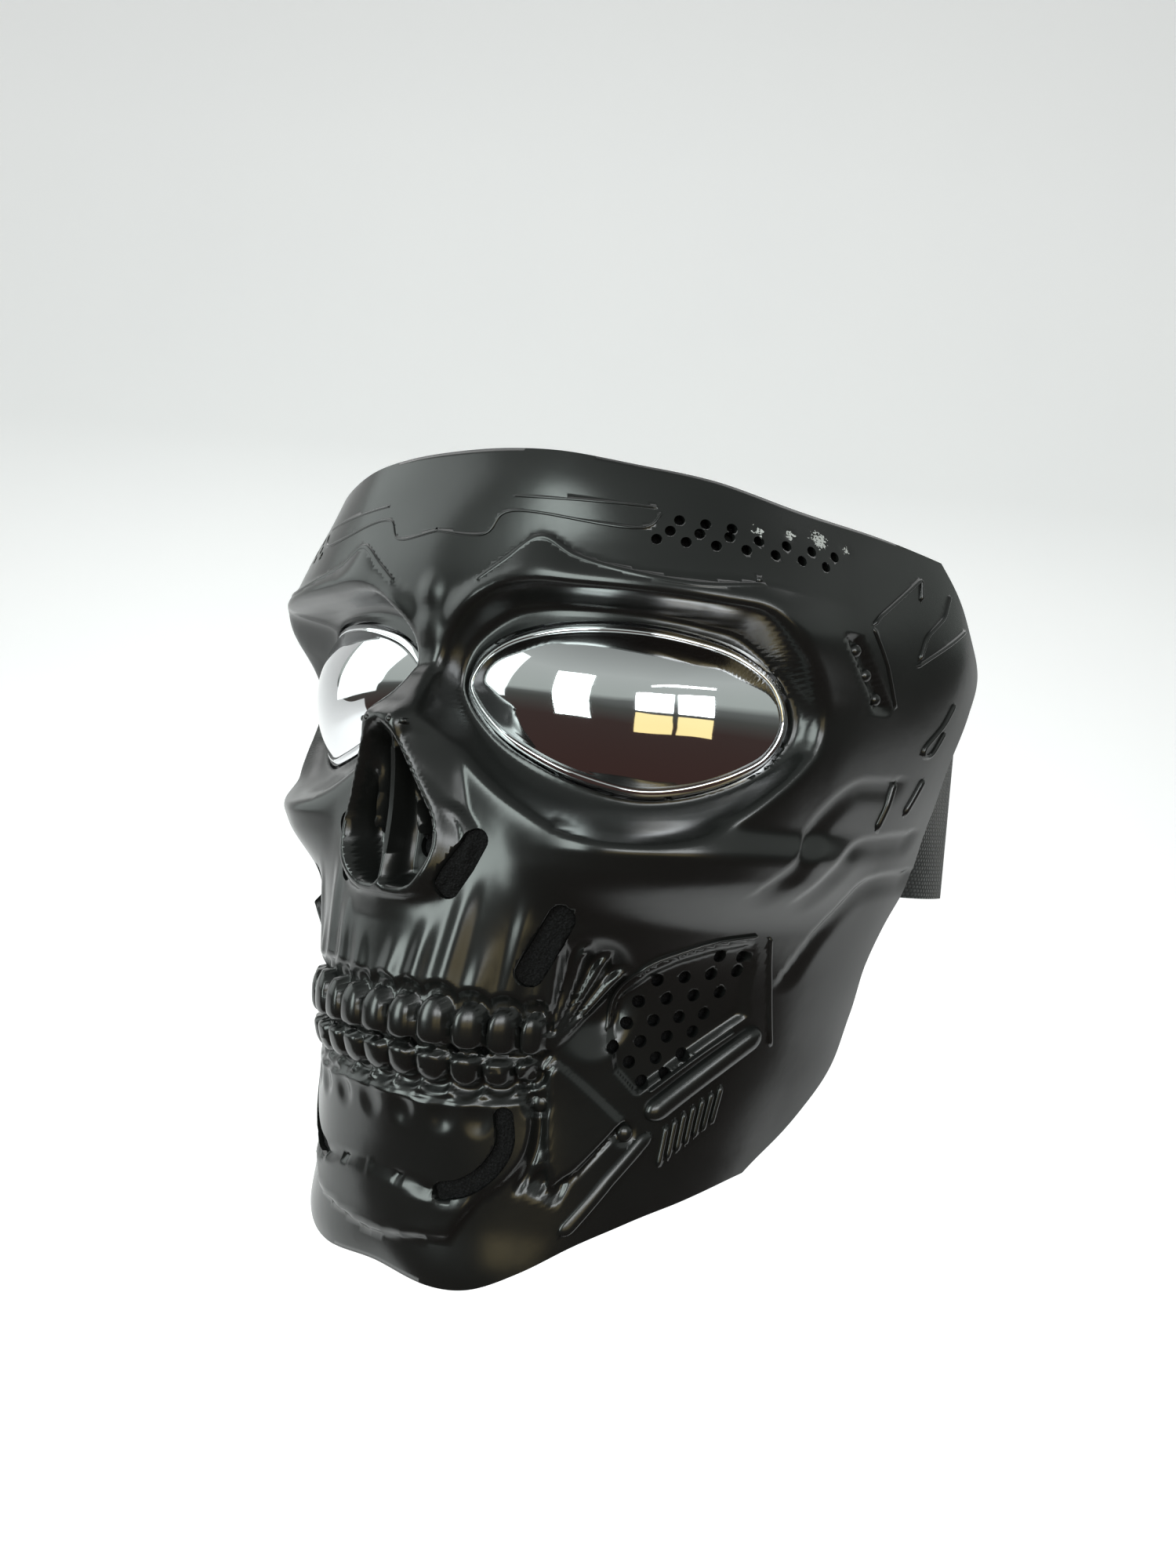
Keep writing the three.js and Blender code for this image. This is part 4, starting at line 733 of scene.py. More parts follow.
def slot_loop(points, width):
    flat, tangent, normal, stretch = slot_frame(points)
    half = width / 2
    turn = np.linspace(0, math.pi, 12)[1:-1, None]
    end_cap = flat[-1] + half * (np.cos(turn) * normal[-1] + np.sin(turn) * tangent[-1])
    start_cap = flat[0] - half * (np.cos(turn) * normal[0] + np.sin(turn) * tangent[0])
    loop = np.vstack([flat + half * normal, end_cap, (flat - half * normal)[::-1], start_cap]) * [stretch, 1]
    x, y = loop[:, 0], loop[:, 1]
    area = np.sum(x * np.roll(y, -1) - np.roll(x, -1) * y)
    return loop if area > 0 else loop[::-1]


def between(row):
    start, end, count = row
    return [spots([mix(np.array(start), np.array(end), i / (count - 1))])[0] for i in range(count)]


def cutter(loop, margin=6.0):
    outside = float(np.max(surface_radius(loop[:, 0], loop[:, 1]))) + margin
    inside = float(np.min(inner_radius(loop[:, 0], loop[:, 1]))) - margin
    return ring_mesh([ring_at(loop, inside), ring_at(loop, outside)])


def shell_rows(outs, levels):
    """Grid of places on the shell that fits its lower edge, rim and rear edges."""
    straight_low, straight_high = float(height_of(-0.68)), float(height_of(0.16))

    def fit(z, turn):
        low = mix(straight_low, lower_edge(turn), (z - straight_low) / (levels[0] - straight_low))
        high = mix(straight_high, upper_rim(turn), (z - straight_high) / (levels[-1] - straight_high))
        return np.where(z < straight_low, low, np.where(z > straight_high, high, z))

    end = rear_edge(fit(levels, np.full(len(levels), 88.0)))
    edge = np.radians(rear_edge(fit(levels, end))) * GIRTH_RADIUS
    girth = outs[None, :] / outs[-1] * edge[:, None]
    z = fit(levels[:, None], np.abs(np.degrees(girth / GIRTH_RADIUS)))
    return girth, z


def graded(spans, parts):
    """Places along a line, from spans of (end, spacing), in a multiple of the parts."""
    ends = np.array([spans[0][0]] + [end for end, _ in spans[1:]], float)
    counts = np.concatenate([[0], np.cumsum([(b - a) / step for a, (b, step) in zip(ends, spans[1:])])])
    total = int(round(counts[-1] / parts)) * parts
    where = np.interp(np.linspace(0, counts[-1], 20 * total + 1), counts, ends)
    kernel = np.ones(101) / 101
    padded = np.concatenate([2 * where[0] - where[50:0:-1], where, 2 * where[-1] - where[-2:-52:-1]])
    return np.convolve(padded, kernel, "valid")[::20]


def feature_lines():
    """Lines that the grid's points are drawn onto, so that edges and crests run clean."""
    lines = [NOSE_LOOP]
    for centre, middle, half, tall, row in TEETH:
        edge = centre - half
        lines.append(np.array([[edge, middle + row * tall * 0.4], [edge, middle - row * tall]]))
    plates = (TEMPLE_LOOP, GRILLE_LOOP, JAW_PLATE_LOOP, CHIN_BLOCK_LOOP)
    lines += [np.vstack([loop, loop[:1]]) for loop in plates]
    return lines


def drawn_to_level(side, level, free, step_out, step_up, value_at, region):
    """Moves the free points near the zero line of a function onto it."""
    mask = near(region, side, level, 0.0) & free
    x, y = side[mask], level[mask]
    small = 0.05
    value = value_at(x, y)
    slope_x = (value_at(x + small, y) - value_at(x - small, y)) / (2 * small)
    slope_y = (value_at(x, y + small) - value_at(x, y - small)) / (2 * small)
    steep = slope_x ** 2 + slope_y ** 2 + 1e-6
    move_x, move_y = -value * slope_x / steep, -value * slope_y / steep
    moved = np.maximum(np.abs(move_x) / step_out[mask], np.abs(move_y) / step_up[mask]) < 0.47
    side[mask] = np.where(moved, x + move_x, x)
    level[mask] = np.where(moved, y + move_y, y)
    done = np.zeros(mask.shape, bool)
    done[mask] = moved
    free &= ~done


def drawn_to_lines(girth, z):
    """The grid with the points nearest to a feature line moved onto it, by less than half a cell."""
    side, level = np.abs(girth), z.copy()
    step_out = np.abs(np.gradient(girth, axis=1))
    step_up = np.abs(np.gradient(z, axis=0))
    free = side > 0.45
    free[0], free[-1], free[:, 0], free[:, -1] = False, False, False, False
    drawn_to_level(side, level, free, step_out, step_up, lambda x, y: tooth_fields(x, y)[1], TEETH_ROOT_BOX)
    for line in feature_lines():
        mask = near(line, side, level, 1.5) & free
        x, y = side[mask], level[mask]
        best = np.full(x.shape, 1.0)
        new_x, new_y = x.copy(), y.copy()
        for (ax, ay), (bx, by) in zip(line[:-1], line[1:]):
            dx, dy, t = along_segment(x, y, (ax, ay), (bx, by))
            px, py = ax + t * dx, ay + t * dy
            away = np.maximum(np.abs(px - x) / step_out[mask], np.abs(py - y) / step_up[mask]) / 0.46
            closer = away < best
            best = np.where(closer, away, best)
            new_x, new_y = np.where(closer, px, new_x), np.where(closer, py, new_y)
        side[mask], level[mask] = new_x, new_y
        moved = np.zeros(mask.shape, bool)
        moved[mask] = best < 1
        free &= ~moved
    return side * np.sign(girth), level


def swept_strip(line, width, lift, sink=0.7):
    """A raised line of the moulding: half-round stations along a line on the surface, sunk into it."""
    run = running(line)
    count = max(6, int(run[-1] / 0.7))
    at = np.linspace(0, run[-1], count)
    path = np.stack([np.interp(at, run, line[:, k]) for k in range(2)], -1)
    for _ in range(3):
        path[1:-1] = (path[:-2] + 2 * path[1:-1] + path[2:]) / 4
    base = surface_radius(path[:, 0], path[:, 1])
    for _ in range(4):
        base[1:-1] = (base[:-2] + 2 * base[1:-1] + base[2:]) / 4
    stretch = GIRTH_RADIUS / base
    _, normal = directions(np.column_stack([path[:, 0] / stretch, path[:, 1]]))
    from_end = np.minimum(at, run[-1] - at) / max(width * 0.8, 0.8)
    taper = np.sqrt(np.clip(1 - (1 - np.minimum(from_end, 1)) ** 2, 0.02, 1))
    rings = []
    turns = np.linspace(0, math.pi, 9)
    for k in range(count):
        half = width / 2 * taper[k]
        offset = np.concatenate([half * np.cos(turns), [-half * 0.9, half * 0.9]])
        place_at = path[k] + offset[:, None] * normal[k] * [stretch[k], 1]
        under = surface_radius(place_at[:9, 0], place_at[:9, 1])
        ground = mix(under, base[k], 0.5)
        top = ground - 0.15 + (lift + 0.15) * taper[k] * np.sin(turns) ** 0.8
        rings.append(np.column_stack([place_at, np.concatenate([top, [ground.min() - sink] * 2])]))
    return ring_mesh(rings)


def dome_lump(spot, width, lift):
    """A rivet's half-round head."""
    girth, z = spot
    base = radius_at(spot)
    stretch = GIRTH_RADIUS / base
    turn = 2 * np.pi * np.arange(DOME_SIDES) / DOME_SIDES

    def ring(reach, radius):
        loop = np.column_stack([girth + reach * np.cos(turn) * stretch, z + reach * np.sin(turn)])
        return ring_at(loop, radius)

    leans = np.linspace(0, math.pi / 2 - 0.12, 7)
    rings = [ring(width / 2, base - DOME_SINK)]
    rings += [ring(width / 2 * math.cos(lean), base + lift * math.sin(lean)) for lean in leans]
    return ring_mesh(rings)


def raised_parts():
    """Everything on the near half of the shell that stands up in a crisp line or a rivet."""
    parts = []
    for _, width, lift, points in LINES:
        if lift > 0:
            line = smooth_line(points, 120) if len(points) > 4 else spots(points)
            parts.append(swept_strip(line, width, lift))
    parts.append(swept_strip(spots(ROD), ROD_THICKNESS, ROD_THICKNESS * ROD_RISE_SHARE, sink=1.0))
    top, foot, last = spots([FIN_TOP, FIN_FOOT, FIN_LAST])
    for i in range(FIN_COUNT):
        shift = (last - top) * i / (FIN_COUNT - 1)
        parts.append(swept_strip(np.array([top + shift, foot + shift]), FIN_WIDTH, FIN_RISE))
    parts += [dome_lump(spot, RIVET_DIAMETER, RIVET_RISE) for spot in spots(RIVETS)]
    parts += [dome_lump(spot, TEMPLE_RIVET_DIAMETER, TEMPLE_RIVET_RISE) for spot in spots(TEMPLE_RIVETS)]
    parts += [dome_lump(spot, PIP_DIAMETER, PIP_RISE) for spot in spots(PIPS)]
    return parts


def grid_cells(rows, columns, start=0):
    """Faces of a grid of points, and its border once round."""
    ids = np.arange(rows * columns).reshape(rows, columns) + start
    cells = np.stack([ids[:-1, :-1], ids[:-1, 1:], ids[1:, 1:], ids[1:, :-1]], -1).reshape(-1, 4)
    return cells, np.concatenate([ids[0, :-1], ids[:-1, -1], ids[-1, :0:-1], ids[:0:-1, 0]])


# Spacing of the shell's grid: end of each span, and the step in it
OUT_SPANS = [(0.0, 0), (0.30, 0.0043), (0.66, 0.0068), (0.94, 0.0086), (1.0, 0.0110)]
HEIGHT_SPANS = [(float(height_of(-1.005)), 0), (-122.0, 1.5), (-73.0, 0.66), (-8.0, 0.86),
                (float(height_of(0.975)), 1.22)]


def build_shell():
    parts = 4
    half = graded(OUT_SPANS, parts)
    outs = np.concatenate([-half[:0:-1], half])
    girth, z = shell_rows(outs, graded(HEIGHT_SPANS, parts))
    inner_girth, inner_z = girth[::parts, ::parts], z[::parts, ::parts]
    girth, z = drawn_to_lines(girth, z)
    rows, columns = girth.shape
    outer = place(girth, z, surface_radius(girth, z)).reshape(-1, 3)
    inner = place(inner_girth, inner_z, inner_radius(inner_girth, inner_z)).reshape(-1, 3)
    cells, ids = grid_cells(rows, columns)
    inner_cells, inner_ids = grid_cells(*inner_girth.shape, start=rows * columns)
    ids, inner_ids = ids.tolist(), inner_ids.tolist()
    faces = cells.tolist() + inner_cells[:, [0, 3, 2, 1]].tolist()
    for k, low in enumerate(inner_ids):
        run = [ids[(k * parts + n) % len(ids)] for n in range(parts + 1)]
        after = inner_ids[(k + 1) % len(inner_ids)]
        faces += [(run[1], run[0], low), (run[2], run[1], low), (run[2], low, after), (run[3], run[2], after),
                  (run[4], run[3], after)]
    shell = new_object("mask_shell_moulded", np.vstack([outer, inner]), faces)
    loops = [polygon_loop(c, VENT_DIAMETER, sides=14) for row in VENT_ROWS for c in between(row)]
    loops += [polygon_loop(c, GRILLE_HOLE_DIAMETER, sides=16) for row in GRILLE_ROWS for c in between(row)]
    loops += [polygon_loop(c, 3.0, 2.8, 14) for c in spots(BITE_HOLES)]
    loops += [polygon_loop(spots([NOSTRIL])[0], NOSTRIL_DIAMETER, sides=24),
              slot_loop(NOSE_SLOT, NOSE_SLOT_WIDTH), slot_loop(CHEEK_SLOT, CHEEK_SLOT_WIDTH),
              slot_loop(CHIN_SLOT, CHIN_SLOT_WIDTH), EYE_LOOP]
    cutters = [cutter(loop) for loop in loops]
    cutters += [mirrored(*part) for part in cutters]
    tool = new_object("cutters", *joined(cutters))
    raised = raised_parts()
    raised += [mirrored(*part) for part in raised]
    lumps = new_object("raised", *joined(raised))
    recalculate(lumps)
    for used, operation in ((tool, "DIFFERENCE"), (lumps, "UNION")):
        change = shell.modifiers.new(used.name, "BOOLEAN")
        change.operation = operation
        change.solver = "MANIFOLD"
        change.object = used
    cut = bpy.data.meshes.new_from_object(shell.evaluated_get(bpy.context.evaluated_depsgraph_get()))
    shell.modifiers.clear()
    shell.data = cut
    for used in (tool, lumps):
        bpy.data.objects.remove(used)
    smooth(shell, SHELL_SMOOTH_ANGLE)
    return shell


def build_lens(side):
    def front(girth, z):
        return socket_floor(np.abs(girth), z) - SHELL_WALL - CLEARANCE

    def inset(distance):
        return offset_loop(EYE_LOOP, -distance)

    edge = inset(LENS_EDGE_GAP)
    middle = edge.mean(0)
    flange = offset_loop(EYE_LOOP, LENS_FLANGE)
    flange_place = flange[:, 0], flange[:, 1]
    seat = np.minimum(socket_floor(*flange_place) - SHELL_WALL, inner_radius(*flange_place)) - CLEARANCE
    rings = [
        ring_at(mix(middle, edge, 0.5), lambda a, b: front(a, b) - LENS_THICKNESS),
        np.column_stack([flange, seat - LENS_THICKNESS]), np.column_stack([flange, seat]),
        ring_at(edge, front),
    ]

    def over_front(lift):
        return lambda girth, z: front(girth, z) + SHELL_WALL + lift

    for distance, lift in LENS_EDGE_PROFILE:
        rings.append(ring_at(inset(LENS_EDGE_GAP + distance), over_front(lift)))
    brim_inset, brim_lift = LENS_EDGE_PROFILE[-1]
    brim = inset(LENS_EDGE_GAP + brim_inset)
    for share in np.linspace(0.97, 0.02, 34):
        rings.append(ring_at(mix(middle, brim, share),
                             over_front(brim_lift + (LENS_DOME - brim_lift) * (1 - share ** 2))))
    part = ring_mesh(rings)
    if side == "right":
        part = mirrored(*part)
    return new_object(f"lens_mirror_{side}", *part, smooth_angle=35)


def sheet_solid(front, back):
    """Points and faces of the closed solid between two grids of points."""
    cells, border = grid_cells(*front.shape[:2])
    size = front.shape[0] * front.shape[1]
    after = np.roll(border, -1)
    sides = np.stack([border, border + size, after + size, after], -1)
    faces = np.vstack([cells, cells[:, ::-1] + size, sides])
    return np.vstack([front.reshape(-1, 3), back.reshape(-1, 3)]), [tuple(face) for face in faces.tolist()]


def foam_noise(points, seed):
    """Irregular cells about a millimetre across."""
    x, y = points[..., 0], points[..., 1]
    total = np.zeros(x.shape)
    rng = np.random.default_rng(seed)
    for scale in (4.2, 6.1, 8.7, 11.0):
        turn, phase = rng.uniform(0, 2 * np.pi), rng.uniform(0, 6.3, 2)
        u = x * math.cos(turn) - y * math.sin(turn)
        v = x * math.sin(turn) + y * math.cos(turn)
        total += np.sin(u * scale + phase[0] + 1.3 * np.sin(v * scale * 0.7)) * np.sin(v * scale + phase[1])
    return total / 4


def build_foam(name, side, points=None, width=0.0, centre=None, seed=1):
    """A pad behind the wall, and a plug whose uneven top fills the slot."""
    if points is None:
        stretch = GIRTH_RADIUS / radius_at(centre, False)
        flat = np.array([centre / [stretch, 1]] * 2) + [[0, 0.05], [0, -0.05]]
        tangent = np.array([[0.0, -1.0]] * 2)
        normal = np.array([[-1.0, 0.0]] * 2)
        plug_loop = polygon_loop(centre, width - 2 * CLEARANCE, sides=24)
        pad_loop = polygon_loop(centre, width + 2 * FOAM_BORDER, sides=24)
    else:
        flat, tangent, normal, stretch = slot_frame(points)
        plug_loop = slot_loop(points, width - 2 * CLEARANCE)
        pad_loop = slot_loop(points, width + 2 * FOAM_BORDER)
    seat = inner_radius(pad_loop[:, 0], pad_loop[:, 1])
    back = float(min(seat.min(), inner_radius(plug_loop[:, 0], plug_loop[:, 1]).min())) - 0.9
    bulged = offset_loop(pad_loop, FOAM_BULGE)
    pad = ring_mesh([ring_at(pad_loop, back - FOAM_PAD_THICKNESS),
                     ring_at(bulged, back - FOAM_PAD_THICKNESS / 2), ring_at(pad_loop, back)])
    half = width / 2 - 0.12
    run = running(flat)
    count = max(14, int((run[-1] + 2 * half) / 0.45))
    along = np.linspace(-half, run[-1] + half, count)
    across = np.linspace(-1, 1, 14)
    grid = []
    for s in along:
        inside = min(max(s, 0), run[-1])
        over = abs(s - inside) / half
        centre_line = np.array([np.interp(inside, run, flat[:, k]) for k in range(2)])
        n = np.array([np.interp(inside, run, normal[:, k]) for k in range(2)])
        t = np.array([np.interp(inside, run, tangent[:, k]) for k in range(2)])
        reach = half * math.sqrt(max(1 - over ** 2, 0.0004))
        grid.append(centre_line + t * (s - inside) + n * (across[:, None] * reach))
    grid = np.array(grid)
    girth, z = grid[..., 0] * stretch, grid[..., 1]
    lift = 0.45 * foam_noise(grid, seed) + 0.3 * (1 - across[None, :] ** 4)
    edge = np.minimum(1 - np.abs(across)[None, :] ** 6, 1)
    top = surface_radius(girth, z, False) - FOAM_SINK - 0.7 + lift * edge
    plug = sheet_solid(place(girth, z, top), place(girth, z, np.full(top.shape, back)))
    part = joined([plug, pad])
    if side == "right":
        part = mirrored(*part)
    piece = new_object(f"{name}_soft_{side}", *part, smooth_angle=60)
    recalculate(piece)
    return piece


def build_backing(name, region, seed):
    """Foam sheet that follows the inside of the shell behind its small holes."""
    (out_start, out_end), levels = region
    low, high = height_of(levels)
    columns = int((out_end - out_start) * FACE_RADIUS / BACKING_GRID)
    rows = int((high - low) / BACKING_GRID)
    girths = np.linspace(out_start, out_end, columns) * FACE_RADIUS
    girth, z = np.meshgrid(girths, np.linspace(low, high, rows))
    seat = inner_radius(girth, z)
    for axis in (0, 1):
        around = [np.roll(seat, shift, axis) for shift in (-2, -1, 0, 1, 2)]
        seat = np.minimum.reduce(around)
    lift = 0.25 * (foam_noise(np.stack([girth, z], -1), seed) - 1)
    edge = np.minimum.reduce([girth - girth.min(), girth.max() - girth, z - z.min(), z.max() - z])
    round_edge = 0.8 * rise(edge, 1.6, 0.0)
    part = sheet_solid(place(girth, z, seat - BACKING_GAP + lift),
                       place(girth, z, seat - BACKING_GAP - BACKING_THICKNESS + round_edge))
    if name.endswith("right"):
        part = mirrored(*part)
    piece = new_object(f"{name}_soft", *part, smooth_angle=60)
    recalculate(piece)
    return piece


def recalculate(piece):
    mesh = bmesh.new()
    mesh.from_mesh(piece.data)
    bmesh.ops.recalc_face_normals(mesh, faces=mesh.faces)
    mesh.to_mesh(piece.data)
    mesh.free()


def straight(x, y, heights):
    """An upright line across the strap."""
    return np.column_stack([np.full(len(heights), x), np.full(len(heights), y), heights]) * MM


def strap_half(across):
    """Stations of the strap from its end in the shell to the middle of the back: outer and inner lines."""
    heights = -STRAP_CENTRE_DROP + STRAP_WIDTH * (0.5 - across)
    anchor_rows = -STRAP_CENTRE_DROP + STRAP_WIDTH * (0.5 - np.array([0, 0.5, 1]))
    edge_turn = float(np.max(rear_edge(anchor_rows))) + STRAP_TURN_MARGIN
    stations = []
    for i in range(5):
        girth = math.radians(mix(STRAP_END_TURN, edge_turn, i / 4)) * GIRTH_RADIUS
        radius = np.interp(across, [0, 0.5, 1], inner_radius(np.full(3, girth), anchor_rows)) - STRAP_WALL_GAP
        stations.append((place(girth, heights, radius), place(girth, heights, radius - STRAP_THICKNESS)))
    outer, inner = (p / MM for p in stations[-1])
    turn_x = float(np.interp(0.5, across, outer[:, 0]))
    start_y = float(np.interp(0.5, across, outer[:, 1]))
    fold_y = STRAP_REACH - STRAP_FOLD_RADIUS
    for share in np.linspace(0, 1, 13)[1:]:
        y = mix(start_y, fold_y, share)
        ease = float(rise(share, 0, 1))
        x = mix(mix(outer[:, 0], turn_x + STRAP_FLARE, ease), turn_x, ease * 0.2)
        stations.append(tuple(np.column_stack([x - depth, mix(line[:, 1], y, share), heights]) * MM
                              for depth, line in ((0, outer), (STRAP_THICKNESS, inner))))
    end_x = float(np.interp(0.5, across, stations[-1][0][:, 0])) / MM
    centre_x = end_x - STRAP_FOLD_RADIUS
    for turn in np.linspace(0, math.pi / 2, 13)[1:]:
        stations.append(tuple(
            straight(centre_x + reach * math.cos(turn), fold_y + reach * math.sin(turn), heights)
            for reach in (STRAP_FOLD_RADIUS, STRAP_FOLD_RADIUS - STRAP_THICKNESS)))
    for share in np.linspace(0, 1, 25)[1:]:
        drop = STRAP_SAG * math.sin(share * math.pi / 2) ** 2
        stations.append(tuple(straight(centre_x * (1 - share), reach, heights - drop)
                              for reach in (STRAP_REACH, STRAP_REACH - STRAP_THICKNESS)))
    return stations


def build_strap():
    across = np.linspace(0, 1, 33)
    half = strap_half(across)
    flip = [tuple(p * [-1, 1, 1] for p in station) for station in half[:-1]][::-1]
    stations = half + flip
    count = 2 * len(across)
    points = np.concatenate([np.vstack([a, b[::-1]]) for a, b in stations])
    faces, uvs = [], []
    run = running(np.array([outer[len(across) // 2] for outer, _ in stations]))
    width_at = np.concatenate([across, across[::-1]]) * STRAP_WIDTH * MM
    for k in range(len(stations) - 1):
        low = [k * count + i for i in range(count)]
        high = [(k + 1) * count + i for i in range(count)]
        for i in range(count):
            j = (i + 1) % count
            faces.append((low[i], low[j], high[j], high[i]))
            uvs += [(run[k], width_at[i]), (run[k], width_at[j])]
            uvs += [(run[k + 1], width_at[j]), (run[k + 1], width_at[i])]
    for start, turned in ((0, True), ((len(stations) - 1) * count, False)):
        for i in range(len(across) - 1):
            face = (start + i, start + i + 1, start + count - 2 - i, start + count - 1 - i)
            faces.append(tuple(reversed(face)) if turned else face)
            uvs += [(0, width_at[i])] * 4
    strap = new_object("strap_woven", points, faces)
    layer = strap.data.uv_layers.new(name="weave")
    layer.data.foreach_set("uv", np.array(uvs, float).ravel())
    recalculate(strap)
    smooth(strap, 50)
    return strap


# Materials, in metres
RIB_PITCH, PICK_PITCH = 0.0011, 0.0009
SCUFF_LARGE, SCUFF_SMALL, SCUFF_RAGGEDNESS = 0.0021, 0.0010, 0.0050
SCUFF_LARGE_GIRTH = 101.0


def set_stops(ramp, stops):
    while len(ramp.elements) < len(stops):
        ramp.elements.new(0.5)
    for element, (position, colour) in zip(ramp.elements, stops):
        element.position = position
        element.color = (*colour, 1)


class Graph:
    """A new material, and short ways to add shader nodes to it."""

    def __init__(self, name):
        self.material = bpy.data.materials.new(name)
        self.material.use_nodes = True
        self.tree = self.material.node_tree
        self.tree.nodes.clear()
        output = self.tree.nodes.new("ShaderNodeOutputMaterial")
        self.shader = self.tree.nodes.new("ShaderNodeBsdfPrincipled")
        self.tree.links.new(self.shader.outputs["BSDF"], output.inputs["Surface"])

    def set(self, name, value):
        self.feed(value, self.shader.inputs[name])

    def node(self, kind, settings=None, **inputs):
        made = self.tree.nodes.new(kind)
        for key, value in (settings or {}).items():
            setattr(made, key, value)
        for key, value in inputs.items():
            self.feed(value, made.inputs[key])
        return made

    def feed(self, value, socket):
        if isinstance(value, bpy.types.NodeSocket):
            self.tree.links.new(value, socket)
        else:
            socket.default_value = value

    def noise(self, vector, scale, detail=4.0, rough=0.55):
        made = self.node("ShaderNodeTexNoise", Vector=vector, Scale=scale, Detail=detail, Roughness=rough)
        return made.outputs["Fac"]

    def ramp(self, value, *stops):
        made = self.node("ShaderNodeValToRGB", Fac=value)
        set_stops(made.color_ramp, stops)
        return made.outputs["Color"]

    def scaled(self, value, low, high):
        made = self.node("ShaderNodeMapRange", Value=value)
        made.inputs["To Min"].default_value = low
        made.inputs["To Max"].default_value = high
        return made.outputs["Result"]

    def math(self, operation, a, b=0.0):
        made = self.node("ShaderNodeMath", {"operation": operation})
        for socket, value in zip(made.inputs, (a, b)):
            self.feed(value, socket)
        return made.outputs["Value"]

    def mixed(self, share, a, b):
        made = self.node("ShaderNodeMix", {"data_type": "RGBA"})
        for socket, value in ((made.inputs[0], share), (made.inputs[6], a), (made.inputs[7], b)):
            self.feed((*value, 1) if isinstance(value, tuple) else value, socket)
        return made.outputs[2]

    def bump(self, height, distance, strength=1.0):
        made = self.node("ShaderNodeBump", Height=height, Distance=distance, Strength=strength)
        return made.outputs["Normal"]

    def position(self):
        return self.node("ShaderNodeNewGeometry").outputs["Position"]


def shell_material():
    g = Graph("black_gloss_plastic")
    where = g.position()
    broad = g.noise(where, 18.0, 3.0)
    fine = g.noise(where, 900.0, 3.0)
    smudge = g.noise(where, 55.0, 5.0, 0.65)
    scuff = None
    for girth, level in spots(FILLED_VENTS):
        centre = place(girth, level, radius_at((girth, level)))
        wobble = g.node("ShaderNodeVectorMath", {"operation": "DISTANCE"})
        g.feed(where, wobble.inputs[0])
        g.feed(tuple(float(v) for v in centre), wobble.inputs[1])
        ragged = g.math("SUBTRACT", g.noise(where, 800.0, 2.0), 0.5)
        close = g.math("ADD", wobble.outputs["Value"], g.math("MULTIPLY", ragged, SCUFF_RAGGEDNESS))
        size = SCUFF_LARGE if abs(girth - SCUFF_LARGE_GIRTH) < 1 else SCUFF_SMALL
        here = g.math("LESS_THAN", close, size)
        scuff = here if scuff is None else g.math("MAXIMUM", scuff, here)
    scuff = g.math("MULTIPLY", scuff, g.math("GREATER_THAN", g.noise(where, 1500.0, 2.0), 0.44))
    colour = g.mixed(broad, (0.0060, 0.0066, 0.0064), (0.0100, 0.0106, 0.0100))
    g.set("Base Color", g.mixed(scuff, colour, (0.42, 0.43, 0.42)))
    rough = g.math("ADD", g.scaled(smudge, 0.17, 0.29), g.math("MULTIPLY", scuff, 0.5))
    g.set("Roughness", rough)
    g.set("IOR", 1.54)
    waves = g.noise(where, 120.0, 2.0)
    height = g.math("ADD", g.math("MULTIPLY", fine, 0.05), g.math("MULTIPLY", waves, 0.35))
    g.set("Normal", g.bump(height, 0.00012))
    return g.material


def mirror_material():
    g = Graph("silver_mirror_lens")
    where = g.position()
    g.set("Base Color", g.mixed(g.noise(where, 40.0), (0.80, 0.81, 0.82), (0.74, 0.75, 0.77)))
    g.set("Metallic", 1.0)
    g.set("Roughness", g.scaled(g.noise(where, 120.0, 5.0), 0.015, 0.06))
    g.set("Normal", g.bump(g.noise(where, 30.0, 1.0), 0.0003, 0.5))
    return g.material


def foam_material():
    g = Graph("open_cell_foam")
    where = g.position()
    cells = g.node("ShaderNodeTexVoronoi", {"feature": "F1"}, Vector=where, Scale=1500.0).outputs["Distance"]
    speckle = g.noise(where, 2200.0, 3.0, 0.7)
    lit_cells = g.ramp(speckle, (0.45, (0, 0, 0)), (0.68, (1, 1, 1)))
    g.set("Base Color", g.mixed(lit_cells, (0.0006, 0.0006, 0.0007), (0.014, 0.014, 0.015)))
    g.set("Roughness", g.scaled(speckle, 0.75, 0.98))
    g.set("Normal", g.bump(g.math("ADD", cells, speckle), 0.0006))
    g.set("Specular IOR Level", 0.25)
    return g.material


